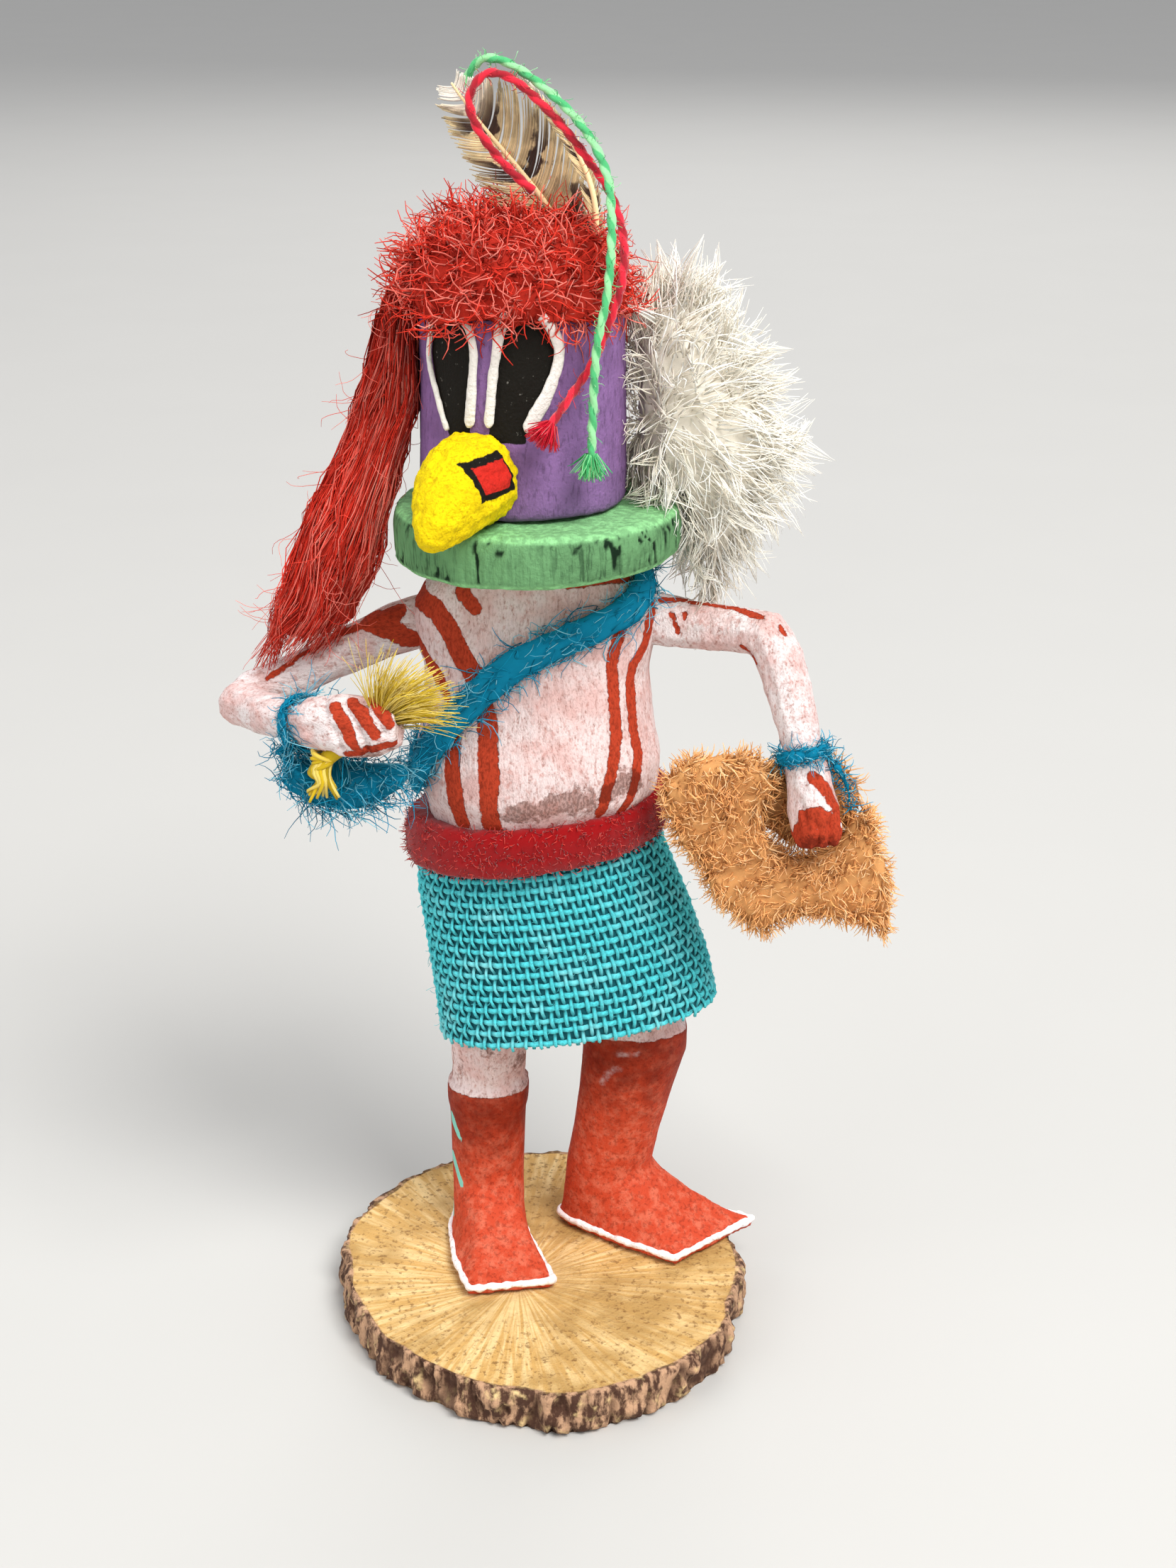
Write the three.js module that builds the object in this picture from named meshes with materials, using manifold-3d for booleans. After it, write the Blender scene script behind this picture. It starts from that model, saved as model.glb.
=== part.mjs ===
// A kachina doll: a small carved and painted wooden dancer in a bird mask, dressed in cloth, felt,
// wool, fur and feathers, standing on a slice of a branch.
// Millimetres, +Z up. The origin is the centre of the slice's underside. The doll faces -Y,
// so its left hand is on +X.
import * as THREE from "three";
import { mergeVertices } from "three/addons/utils/BufferGeometryUtils.js";
import Module from "manifold-3d";

const wasm = await Module();
wasm.setup();

// ---------------------------------------------------------------- driving dimensions
const GAP = 0.3; // glue line between two pieces
const TURN = Math.PI * 2;
const rad = THREE.MathUtils.degToRad;
const at = (x, y, z) => new THREE.Vector3(x, y, z);

const BASE = { x: 0.2, y: 0.8, halfWidth: 27.9, halfDepth: 31.0, turn: rad(20), height: 6, sides: 56 };
const SOLE_Z = BASE.height + GAP; // underside of the boots
const SOLE_THICK = 1.1;
const ANKLE_Z = 15.5;
const BOOT_TOP_Z = 30.5;
const HIP_Z = 46; // lowest part of the trunk, under the kilt
const WAIST_Z = 70;
const RUFF_Z = 108.2;

// Trunk sections from the hips to the neck: height, middle, half width and half depth.
const TRUNK = [
  { z: HIP_Z, x: 3.6, y: 4.5, across: 14.8, deep: 7.6 },
  { z: 54, x: 2.6, y: 4.5, across: 15.0, deep: 8.4 },
  { z: 63, x: 0.9, y: 4.4, across: 14.4, deep: 8.3 },
  { z: WAIST_Z, x: 0.1, y: 4.3, across: 13.5, deep: 8.3 },
  { z: 74.0, x: 0.0, y: 3.9, across: 14.1, deep: 9.8 },
  { z: 76.4, x: 0.3, y: 3.5, across: 15.1, deep: 10.8 },
  { z: 80.5, x: 0.3, y: 3.7, across: 15.5, deep: 11.0 },
  { z: 86.0, x: 0.1, y: 4.2, across: 14.5, deep: 10.2 },
  { z: 91.5, x: 0.0, y: 4.5, across: 14.1, deep: 9.5 },
  { z: 95.5, x: 0.0, y: 4.7, across: 15.2, deep: 9.0 },
  { z: 99.5, x: 0.2, y: 4.8, across: 15.9, deep: 8.4 },
  { z: 102.6, x: 0.4, y: 4.6, across: 14.2, deep: 8.0 },
  { z: 105.4, x: 0.5, y: 4.0, across: 11.0, deep: 7.6 },
  { z: RUFF_Z + 0.5, x: 0.5, y: 3.4, across: 9.6, deep: 7.2 },
];

// Each leg: its heading, the sole round the ankle (forward, sideways), and the sections of the shaft.
const LEG_RIGHT = {
  heading: rad(14.6), // towards +X from straight ahead
  ankle: at(-7.4, 7.6, 0),
  sole: [[-6.0, -3.4], [-6.4, 3.0], [-1.5, 4.8], [15.8, 5.7], [14.9, -6.1], [7.5, -6.6], [-1.0, -5.4]],
  shaft: [
    { z: ANKLE_Z, x: -7.3, y: 8.6, across: 4.9, deep: 4.9 },
    { z: 20.5, x: -7.3, y: 8.9, across: 5.1, deep: 5.1 },
    { z: 26.4, x: -7.2, y: 8.6, across: 5.3, deep: 5.3 },
    { z: 27.2, x: -7.2, y: 8.5, across: 5.6, deep: 5.6 },
    { z: BOOT_TOP_Z, x: -7.1, y: 8.2, across: 5.7, deep: 5.7 },
    { z: BOOT_TOP_Z + 0.1, x: -7.1, y: 8.2, across: 5.0, deep: 5.0 },
    { z: 39, x: -6.7, y: 6.2, across: 5.2, deep: 4.7 },
    { z: HIP_Z + 6, x: -4.4, y: 4.8, across: 5.2, deep: 4.8 },
  ],
};
const LEG_LEFT = {
  heading: rad(58.4),
  ankle: at(8.6, 12.4, 0),
  sole: [[-5.0, -4.2], [-5.4, 3.6], [-2.0, 5.6], [19.9, 8.8], [15.4, -6.2], [7.0, -6.4], [-2.6, -5.4]],
  shaft: [
    { z: ANKLE_Z, x: 9.4, y: 11.8, across: 6.0, deep: 5.1 },
    { z: 21, x: 10.4, y: 11.4, across: 6.0, deep: 5.2 },
    { z: 28, x: 11.7, y: 10.7, across: 6.5, deep: 5.5 },
    { z: 34.5, x: 12.9, y: 10.0, across: 7.2, deep: 5.9 },
    { z: 38.6, x: 13.0, y: 9.3, across: 7.2, deep: 6.1 },
    { z: 38.7, x: 12.9, y: 9.2, across: 6.5, deep: 5.4 },
    { z: 42, x: 11.9, y: 6.8, across: 6.2, deep: 4.7 },
    { z: HIP_Z + 6, x: 8.6, y: 4.8, across: 6.0, deep: 4.8 },
  ],
};

// Arms: stations from the shoulder to the knuckles, with the half width and half thickness there.
const ARM_RIGHT = [
  { p: at(-13.0, 5.0, 98.2), wide: 3.5, thick: 3.1 },
  { p: at(-18.5, 4.9, 95.9), wide: 3.2, thick: 2.9 },
  { p: at(-28.0, 4.4, 91.3), wide: 2.7, thick: 2.6 },
  { p: at(-35.4, 3.7, 88.2), wide: 2.9, thick: 2.8 },
  { p: at(-37.0, 1.0, 87.6), wide: 2.9, thick: 2.8 },
  { p: at(-33.0, -4.2, 88.2), wide: 2.7, thick: 2.6 },
  { p: at(-29.0, -8.6, 88.9), wide: 2.4, thick: 2.3 },
  { p: at(-26.4, -10.8, 89.4), wide: 3.4, thick: 2.6 },
  { p: at(-22.6, -12.9, 89.9), wide: 4.1, thick: 3.0 },
  { p: at(-18.6, -14.4, 90.3), wide: 3.7, thick: 2.8 },
  { p: at(-15.8, -15.2, 90.5), wide: 2.3, thick: 2.0 },
];
const ARM_LEFT = [
  { p: at(13.4, 4.8, 98.4), wide: 3.4, thick: 3.1 },
  { p: at(18.9, 3.2, 97.3), wide: 3.1, thick: 2.9 },
  { p: at(24.6, 0.4, 97.6), wide: 2.9, thick: 2.8 },
  { p: at(28.3, -1.8, 97.7), wide: 3.1, thick: 3.0 },
  { p: at(30.0, -3.2, 95.0), wide: 3.1, thick: 2.9 },
  { p: at(31.6, -5.2, 89.6), wide: 2.9, thick: 2.7 },
  { p: at(32.8, -7.0, 84.6), wide: 2.5, thick: 2.3 },
  { p: at(33.5, -8.0, 81.2), wide: 3.3, thick: 2.5 },
  { p: at(34.1, -9.0, 77.6), wide: 3.8, thick: 2.8 },
  { p: at(34.6, -9.8, 74.6), wide: 3.7, thick: 2.8 },
  { p: at(34.8, -10.2, 73.0), wide: 2.9, thick: 2.2 },
];

const RUFF = { x: 0.4, y: 1.0, radius: 17.5, thick: 5.6, rim: 0.7, sag: 1.3 };
const MASK = { x: -1.3, y: 2.0, radius: 12.6, z: RUFF_Z + RUFF.thick + GAP, brow: 22.5, height: 30.2 };
const FACE_TURN = rad(25); // the mask looks towards the doll's right
const BEAK = [ // distance out from the mask, middle height, half width, half height
  { out: 0.2, z: 119.3, wide: 5.1, high: 5.0 },
  { out: 1.8, z: 119.3, wide: 5.6, high: 5.6 },
  { out: 4.8, z: 119.0, wide: 5.4, high: 5.5 },
  { out: 7.8, z: 118.1, wide: 4.6, high: 4.9 },
  { out: 10.4, z: 116.7, wide: 3.6, high: 3.9 },
  { out: 12.6, z: 115.2, wide: 2.4, high: 2.6 },
  { out: 13.9, z: 114.1, wide: 1.1, high: 1.2 },
];

const KILT = {
  wall: 1.0,
  rings: [ // each ring rises by its lean per millimetre towards the doll's left
    { z: 42.9, x: 5.2, y: 4.5, across: 18.6, deep: 10.2, lean: 0.15 },
    { z: 49, x: 4.3, y: 4.5, across: 18.3, deep: 10.1, lean: 0.14 },
    { z: 57, x: 2.5, y: 4.5, across: 17.5, deep: 10.0, lean: 0.13 },
    { z: 64, x: 0.7, y: 4.4, across: 16.6, deep: 10.0, lean: 0.125 },
    { z: 69.8, x: -0.1, y: 4.3, across: 15.4, deep: 10.0, lean: 0.125 },
  ],
};
const SASH = {
  x: -0.1, y: 4.2, z: 71.3, across: 17.0, deep: 11.7, thick: 1.3, high: 6.4, lean: 0.13, sag: 0.9,
};
const BANDOLIER = {
  wide: 2.5,
  thick: 1.3,
  route: [ // bearing round the trunk from +X, and height
    [-166, 77.8], [-148, 82.6], [-132, 86.8], [-117, 90.4], [-101, 94.0], [-86, 96.8], [-70, 98.8],
    [-46, 101.2], [-18, 103.6], [18, 104.4], [60, 101.0], [96, 94.0], [130, 86.0], [165, 79.0],
  ],
};

// Wool round the wrists: where along the arm, and the bands' sizes.
const WRIST = {
  right: { p: at(-28.2, -9.3, 89.1), radius: 2.7 },
  left: { p: at(32.9, -7.2, 84.0), radius: 2.9 },
  wide: 1.5,
  thick: 0.9,
};
const TUFT = [
  { p: at(-29.6, -9.6, 87.0), wide: 1.0, thick: 1.0 },
  { p: at(-31.0, -9.2, 85.0), wide: 1.3, thick: 1.4 },
  { p: at(-30.2, -9.0, 82.9), wide: 2.4, thick: 2.2 },
  { p: at(-27.2, -9.0, 81.3), wide: 3.4, thick: 2.9 },
  { p: at(-23.6, -9.0, 80.7), wide: 3.9, thick: 3.0 },
  { p: at(-19.8, -9.0, 80.9), wide: 3.4, thick: 2.5 },
  { p: at(-16.6, -8.8, 82.0), wide: 2.2, thick: 1.7 },
  { p: at(-14.9, -8.6, 82.8), wide: 0.9, thick: 0.8 },
];
const WRIST_TAIL = [
  { p: at(35.2, -7.4, 83.6), wide: 0.9, thick: 0.9 },
  { p: at(37.3, -7.8, 82.2), wide: 0.9, thick: 0.8 },
  { p: at(38.4, -8.6, 80.0), wide: 0.7, thick: 0.6 },
  { p: at(38.8, -9.9, 77.6), wide: 0.4, thick: 0.4 },
];

const PELT = {
  y: -6.4,
  thick: 5,
  edge: 1.9,
  outline: [ // the skin seen from the front, with the hollow where the hand grips it
    [18.6, 83.6], [24.6, 84.2], [29.4, 83.0], [29.4, 78.4], [28.4, 73.8], [31.2, 71.2], [37.0, 71.6],
    [38.9, 75.4], [41.2, 76.2], [43.9, 71.1], [44.9, 64.6], [44.2, 59.9], [39.6, 60.8], [34.4, 61.6],
    [28.6, 60.2], [23.6, 62.8], [18.6, 70.4], [15.6, 76.4], [15.9, 81.0],
  ],
};
const GRASS = [
  { p: at(-26.2, -12.7, 83.0), wide: 1.5, thick: 1.2 },
  { p: at(-25.2, -12.9, 85.0), wide: 1.1, thick: 1.0 },
  { p: at(-23.0, -13.3, 87.2), wide: 1.1, thick: 1.1 },
  { p: at(-17.2, -14.1, 91.6), wide: 1.2, thick: 1.1 },
  { p: at(-14.8, -14.6, 93.6), wide: 2.4, thick: 1.3 },
  { p: at(-11.8, -15.0, 96.4), wide: 3.8, thick: 1.5 },
];

// Red wool: a mop on the crown, and a long fall of it at the right side.
const CAP = { x: -2.3, y: 2.2, hairline: 136.9, crown: 148.7, across: 14.05, deep: 14.25, nape: 8.6 };
const FALL = [
  { p: at(-15.7, 2.2, 137.4), wide: 2.2, thick: 3.2 },
  { p: at(-16.4, 2.2, 131.0), wide: 2.7, thick: 4.2 },
  { p: at(-17.5, 2.2, 125.0), wide: 3.2, thick: 4.4 },
  { p: at(-20.3, 2.2, 118.0), wide: 4.6, thick: 4.4 },
  { p: at(-22.9, 2.2, 111.5), wide: 5.0, thick: 4.4 },
  { p: at(-24.8, 2.2, 105.0), wide: 5.9, thick: 4.2 },
  { p: at(-26.8, 2.2, 100.4), wide: 5.4, thick: 3.6 },
  { p: at(-29.8, 2.2, 97.4), wide: 3.0, thick: 2.4 },
  { p: at(-32.0, 2.2, 96.0), wide: 0.8, thick: 0.8 },
];
const FUR = [
  { p: at(15.0, 5, 138.2), wide: 2.6, thick: 2.4 },
  { p: at(15.8, 5, 136.4), wide: 4.8, thick: 4.2 },
  { p: at(17.0, 5, 132.6), wide: 7.0, thick: 6.2 },
  { p: at(18.1, 5, 128.0), wide: 7.6, thick: 7.2 },
  { p: at(19.3, 5, 123.4), wide: 8.8, thick: 7.8 },
  { p: at(20.4, 5, 118.4), wide: 10.6, thick: 8.0 },
  { p: at(20.8, 5, 114.0), wide: 9.4, thick: 7.2 },
  { p: at(21.8, 5, 109.4), wide: 5.2, thick: 5.0 },
  { p: at(21.8, 5, 104.8), wide: 2.6, thick: 3.0 },
  { p: at(21.0, 5, 101.4), wide: 0.8, thick: 0.9 },
];

// Feathers: the quill from the crown to the tip, with the half width of the vane on either side.
const BROAD_FEATHER = {
  thick: 0.7,
  quill: [
    { p: at(4.6, 3.3, 143.6), near: 4.2, far: 4.6 },
    { p: at(1.8, 2.9, 148.4), near: 5.2, far: 7.0 },
    { p: at(-1.2, 2.3, 152.4), near: 4.8, far: 7.2 },
    { p: at(-4.0, 1.6, 155.8), near: 4.0, far: 6.2 },
    { p: at(-6.2, 0.9, 158.6), near: 3.5, far: 4.6 },
    { p: at(-7.9, 0.2, 161.0), near: 2.8, far: 2.8 },
    { p: at(-8.9, -0.2, 162.5), near: 1.3, far: 1.2 },
  ],
};
const NARROW_FEATHER = {
  thick: 0.7,
  quill: [
    { p: at(7.2, 0.8, 143.0), near: 1.6, far: 0.9 },
    { p: at(7.4, 0.6, 148.2), near: 1.5, far: 0.8 },
    { p: at(6.4, 0.4, 152.4), near: 1.3, far: 0.7 },
    { p: at(4.4, 0.2, 156.4), near: 1.1, far: 0.6 },
    { p: at(1.6, 0.0, 160.2), near: 0.9, far: 0.5 },
    { p: at(-1.4, -0.2, 162.9), near: 0.7, far: 0.5 },
    { p: at(-3.6, -0.3, 163.6), near: 0.4, far: 0.4 },
  ],
};

// Strings, each from the feathers to its tassel; scene.py repeats these points.
const STRING_DIAMETER = 1.2;
const GREEN_STRING = [
  [-6.6, 1.5, 160.8], [-7.1, 1.1, 162.9], [-5.4, 0.2, 165.0], [-2.8, -0.7, 164.8], [2.6, -2.2, 161.3],
  [6.4, -4.0, 157.4], [8.6, -6.6, 153.2], [9.1, -9.2, 149.2], [9.0, -11.3, 144.4], [8.5, -12.0, 140.0],
  [7.6, -12.2, 135.8], [7.2, -12.2, 131.0], [7.0, -12.0, 126.0], [6.9, -12.0, 122.4],
];
const RED_STRING = [
  [0.2, -0.4, 150.6], [-2.6, -1.0, 153.2], [-4.9, -1.4, 156.0], [-6.5, -1.8, 158.9], [-6.8, -1.9, 161.2],
  [-5.0, -1.9, 163.6], [-2.4, -2.2, 163.3], [2.6, -2.2, 159.1], [6.2, -3.0, 154.8], [9.0, -5.0, 151.0],
  [10.5, -8.0, 146.0], [10.2, -10.0, 141.4], [9.0, -10.2, 137.6], [7.0, -10.0, 132.8], [4.6, -11.4, 129.4],
  [2.2, -12.8, 126.2],
];
const TASSEL = { long: 2.9, near: 0.75, far: 1.5 };

// ---------------------------------------------------------------- shaping tools
// A solid of manifold-3d from any closed three.js geometry.
function solid(geometry) {
  const bare = new THREE.BufferGeometry();
  bare.setAttribute("position", geometry.getAttribute("position"));
  if (geometry.index) bare.setIndex(geometry.index);
  const merged = mergeVertices(bare, 1e-4);
  return new wasm.Manifold(new wasm.Mesh({
    numProp: 3,
    vertProperties: new Float32Array(merged.attributes.position.array),
    triVerts: new Uint32Array(merged.index.array),
  }));
}

// A solid cut back from its neighbours, each of them grown by the glue line.
function clear(shape, ...neighbours) {
  return shape.subtract(neighbours.reduce((all, neighbour) => all.add(neighbour)));
}

// A closed surface through rings of equally many points. It is capped at its ends, by fans from their
// middles or by a triangulation across X and Z, unless the rings loop round.
function skin(rings, { loops = false, flat = false } = {}) {
  const sides = rings[0].length;
  const points = rings.flat();
  const index = [];
  const last = loops ? rings.length : rings.length - 1;
  for (let i = 0; i < last; i++) {
    for (let j = 0; j < sides; j++) {
      const next = ((i + 1) % rings.length) * sides;
      const a = i * sides + j;
      const b = i * sides + ((j + 1) % sides);
      const c = next + ((j + 1) % sides);
      const d = next + j;
      index.push(a, b, c, a, c, d);
    }
  }
  for (const end of loops ? [] : [0, rings.length - 1]) {
    const start = end * sides;
    const turned = (a, b, c) => (end ? [a, b, c] : [a, c, b]);
    if (flat) {
      const outline = rings[end].map((p) => new THREE.Vector2(p.x, -p.z));
      for (const [a, b, c] of THREE.ShapeUtils.triangulateShape(outline, [])) {
        index.push(...turned(start + a, start + b, start + c));
      }
    } else {
      const middle = rings[end].reduce((sum, p) => sum.add(p), at(0, 0, 0)).divideScalar(sides);
      const centre = points.push(middle) - 1;
      for (let j = 0; j < sides; j++) {
        index.push(...turned(centre, start + j, start + ((j + 1) % sides)));
      }
    }
  }
  return new THREE.BufferGeometry().setFromPoints(points).setIndex(index);
}

// The point at a bearing on a rounded outline; full above 1 makes it squarer.
function onOutline(angle, across, deep, full = 1) {
  const bend = (v) => Math.sign(v) * Math.abs(v) ** (1 / full);
  return [across * bend(Math.cos(angle)), deep * bend(Math.sin(angle))];
}

function bearings(sides) {
  return Array.from({ length: sides }, (_, j) => (j / sides) * TURN);
}

// A level section of the body, which may rise towards +X.
function level({ z, x, y, across, deep }, sides, { grow = 0, full = 1, rise = 0 } = {}) {
  return bearings(sides).map((angle) => {
    const [dx, dy] = onOutline(angle, across + grow, deep + grow, full);
    return at(x + dx, y + dy, z + rise * dx);
  });
}

// Sections swept along stations, with their width turned towards a given side.
function sweep(stations, sides, options = {}) {
  const { grow = 0, side = at(0, 0, 1), full = 1, loops = false, ridges = null } = options;
  const count = stations.length;
  const rings = stations.map((s, i) => {
    const before = stations[loops ? (i + count - 1) % count : Math.max(i - 1, 0)].p;
    const after = stations[loops ? (i + 1) % count : Math.min(i + 1, count - 1)].p;
    const along = after.clone().sub(before).normalize();
    const lean = (s.side ?? side).clone();
    const w = lean.addScaledVector(along, -lean.dot(along)).normalize();
    const t = along.clone().cross(w);
    return bearings(sides).map((angle) => {
      const lock = ridges ? 1 + ridges.depth * Math.sin(ridges.count * angle + ridges.twist * i) : 1;
      const [dw, dt] = onOutline(angle, lock * s.wide + grow, lock * s.thick + grow, full);
      return s.p.clone().addScaledVector(w, dw).addScaledVector(t, dt);
    });
  });
  return skin(rings, { loops });
}

// Longer stations at both ends, so that a grown copy also clears the ends.
function stretched(stations, by) {
  const copy = stations.map((s) => ({ ...s, p: s.p.clone() }));
  const push = (end, next) => end.p.addScaledVector(end.p.clone().sub(next.p).normalize(), by);
  push(copy[0], copy[1]);
  push(copy.at(-1), copy.at(-2));
  return copy;
}

// A value read off a list of sections between two of its heights.
function sectionAt(list, z) {
  const i = Math.max(1, list.findIndex((s) => s.z >= z));
  const [a, b] = [list[i - 1], list[i]];
  const t = (z - a.z) / (b.z - a.z);
  return Object.fromEntries(Object.keys(a).map((key) => [key, THREE.MathUtils.lerp(a[key], b[key], t)]));
}

// ---------------------------------------------------------------- wooden pieces
// A slice of a branch: an oval with a wavy bark edge that is broken out in a few places.
function baseSlice() {
  const { x, y, halfWidth, halfDepth, turn, height, sides } = BASE;
  const bark = (a) => 0.35 * Math.sin(3 * a + 0.6) + 0.28 * Math.sin(7 * a + 2) + 0.22 * Math.sin(13 * a);
  const chip = (a) => (Math.sin(9 * a + 1) > 0.8 ? 0.5 : 0);
  const steps = [
    { z: 0, inset: 1.2 },
    { z: 0.9, inset: 0.3 },
    { z: height - 1.6, inset: 0 },
    { z: height - 0.5, inset: 0.4 },
    { z: height, inset: 1.1 },
  ];
  const rings = steps.map(({ z, inset }) => bearings(sides).map((a) => {
    const cut = inset - bark(a) + (z < height - 1 ? chip(a) : 0);
    const [dx, dy] = onOutline(a, halfWidth - cut, halfDepth - cut);
    return at(dx, dy, z);
  }));
  return solid(skin(rings).rotateZ(turn).translate(x, y, 0));
}

// How far a ray at a bearing runs from the ankle to the edge of the sole.
function soleReach(corners, angle) {
  const [dx, dy] = [Math.cos(angle), Math.sin(angle)];
  let reach = 0;
  corners.forEach(([ax, ay], i) => {
    const [bx, by] = corners[(i + 1) % corners.length];
    const [ex, ey] = [bx - ax, by - ay];
    const cross = dx * ey - dy * ex;
    const far = (ax * ey - ay * ex) / cross;
    const share = (ax * dy - ay * dx) / cross;
    if (far > 0 && share >= -1e-6 && share <= 1 + 1e-6) reach = Math.max(reach, far);
  });
  return reach;
}

// One leg in its boot: a flat sole, a foot that rises from the toe to the ankle, and the shaft.
function leg({ heading, ankle, sole, shaft }, grow = 0) {
  const sides = 20;
  const turn = heading - Math.PI / 2; // straight ahead is -Y
  const corners = sole.map(([forward, sideways]) => [
    forward * Math.cos(turn) - sideways * Math.sin(turn),
    forward * Math.sin(turn) + sideways * Math.cos(turn),
  ]);
  const angles = bearings(sides);
  for (const [x, y] of corners) { // the nearest ray goes through each corner of the sole
    const bearing = (Math.atan2(y, x) + TURN) % TURN;
    const ray = Math.round((bearing / TURN) * sides);
    angles[ray % sides] = ray === sides ? bearing - TURN : bearing;
  }
  const outline = (z, inset) => angles.map((a) => {
    const r = soleReach(corners, a) - inset + grow;
    return at(ankle.x + r * Math.cos(a), ankle.y + r * Math.sin(a), z);
  });
  const around = (s) => angles.map((a) => at(
    s.x + (s.across + grow) * Math.cos(a), s.y + (s.deep + grow) * Math.sin(a), s.z,
  ));
  const upperZ = SOLE_Z + SOLE_THICK;
  const edge = outline(upperZ, 0.35);
  const top = around(shaft[0]);
  const instep = [0.18, 0.4, 0.62, 0.82].map((t) => edge.map((p, j) => {
    const q = p.clone().lerp(top[j], t);
    q.z = THREE.MathUtils.lerp(upperZ, ANKLE_Z, t ** 1.5) + 0.5 * Math.sqrt(t);
    return q;
  }));
  const rings = [outline(SOLE_Z - grow, 0), outline(upperZ, 0), edge, ...instep, top,
    ...shaft.slice(1).map(around)];
  return solid(skin(rings));
}

// Trunk, legs and boots are carved from one piece.
function body(grow = 0) {
  const trunk = solid(skin(TRUNK.map((s) => level(s, 24, { grow, full: 1.12 }))));
  return clear(trunk.add(leg(LEG_RIGHT, grow)).add(leg(LEG_LEFT, grow)), ruff(GAP));
}

// An arm whittled with flat facets, ending in a mitten of a hand.
function arm(stations, grow = 0) {
  const run = grow ? stretched(stations, grow) : stations;
  return solid(sweep(run, 10, { grow, full: 1.1 }));
}

function lathe(profile, sides) {
  const points = profile.map(([r, z]) => new THREE.Vector2(r, z));
  return new THREE.LatheGeometry(points, sides).rotateX(Math.PI / 2);
}

function ruff(grow = 0) {
  const { x, y, radius, thick, rim, sag } = RUFF;
  const [low, high, edge] = [-grow, thick + grow, radius + grow];
  const profile = [[0, low], [edge - rim, low], [edge - 0.1, low + rim], [edge, low + thick * 0.6],
    [edge - 0.2, high - rim], [edge - rim, high], [0, high]];
  const disc = lathe(profile, 36);
  const points = disc.getAttribute("position");
  for (let i = 0; i < points.count; i++) { // the disc is thicker on the doll's right
    const share = (radius - points.getX(i)) / (2 * radius);
    const low = points.getZ(i) < thick / 2;
    points.setZ(i, points.getZ(i) - (low ? sag * share : 0));
  }
  return solid(disc.translate(x, y, RUFF_Z));
}

function mask(grow = 0) {
  const { x, y, z, radius, brow, height } = MASK;
  const r = radius + grow;
  const dome = Array.from({ length: 5 }, (_, i) => {
    const a = (i / 5) * (Math.PI / 2);
    return [(r - 0.4) * Math.cos(a), brow + (height - brow + grow) * Math.sin(a)];
  });
  const profile = [[0, -grow], [r - 0.5, -grow], [r, 0.6], [r - 0.2, 12], ...dome, [0, height + grow]];
  return solid(lathe(profile, 28).translate(x, y, z));
}

// A bird's bill, deep where it meets the mask and hooked down to its tip.
function beak() {
  const out = at(-Math.sin(FACE_TURN), -Math.cos(FACE_TURN), 0);
  const side = at(0, 0, 1);
  const stations = BEAK.map(({ out: far, z, wide, high }) => ({
    p: at(MASK.x, MASK.y, z).addScaledVector(out, MASK.radius - 2 + far),
    wide: high, thick: wide, side,
  }));
  return clear(solid(sweep(stations, 14, { full: 1.05 })), mask(GAP), ruff(GAP));
}

// ---------------------------------------------------------------- dress
function kiltRings(inset) {
  return KILT.rings.map((s) => level({ ...s, across: s.across - inset, deep: s.deep - inset }, 32,
    { rise: s.lean, full: 1.06 }));
}

// A wrapped skirt: a wall of cloth, open below.
function kilt() {
  return solid(skin([...kiltRings(0), ...kiltRings(KILT.wall).reverse()], { loops: true }));
}

// A band of felt with a rolled upper edge, tied over the top of the kilt and lowest in front.
function sash() {
  const { x, y, z, across, deep, thick, high, lean, sag } = SASH;
  const edge = [[0.5, -0.5], [0, -0.2], [0.1, 0.25], [0.8, 0.47], [thick + 0.3, 0.5],
    [thick + 1.3, 0.42], [thick + 0.9, 0.1], [thick, -0.2],
    [thick - 0.1, -0.5]]; // inset, and height as a share of the band's
  const rings = edge.map(([inset, up]) => {
    const ring = level({ z: z + up * high, x, y, across: across - inset, deep: deep - inset }, 32,
      { rise: lean, full: 1.06 });
    for (const p of ring) p.z -= sag * Math.max(0, (y - p.y) / deep) ** 2;
    return ring;
  });
  const skirt = solid(skin(kiltRings(-GAP)));
  return clear(solid(skin(rings, { loops: true })), body(GAP), skirt);
}

// The place on the trunk's surface at a bearing and a height, moved out by a given distance.
function onTrunk(degrees, z, off) {
  const s = sectionAt(TRUNK, z);
  const [dx, dy] = onOutline(rad(degrees), s.across + off, s.deep + off, 1.12);
  return at(s.x + dx, s.y + dy, z);
}

// Loosely spun wool slung over the left shoulder and round the right hip.
function bandolier() {
  const { wide, thick, route } = BANDOLIER;
  const curve = new THREE.CatmullRomCurve3(route.map(([a, z]) => onTrunk(a, z, thick * 0.6)), true);
  const stations = curve.getSpacedPoints(36).slice(0, -1).map((p) => {
    const s = sectionAt(TRUNK, p.z);
    const out = at((p.x - s.x) / s.across, (p.y - s.y) / s.deep, p.z > 101 ? 0.6 : 0).normalize();
    return { p, wide: thick, thick: wide, side: out };
  });
  const band = solid(sweep(stations, 8, { loops: true }));
  return clear(band, body(GAP), arm(ARM_LEFT, GAP));
}

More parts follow.
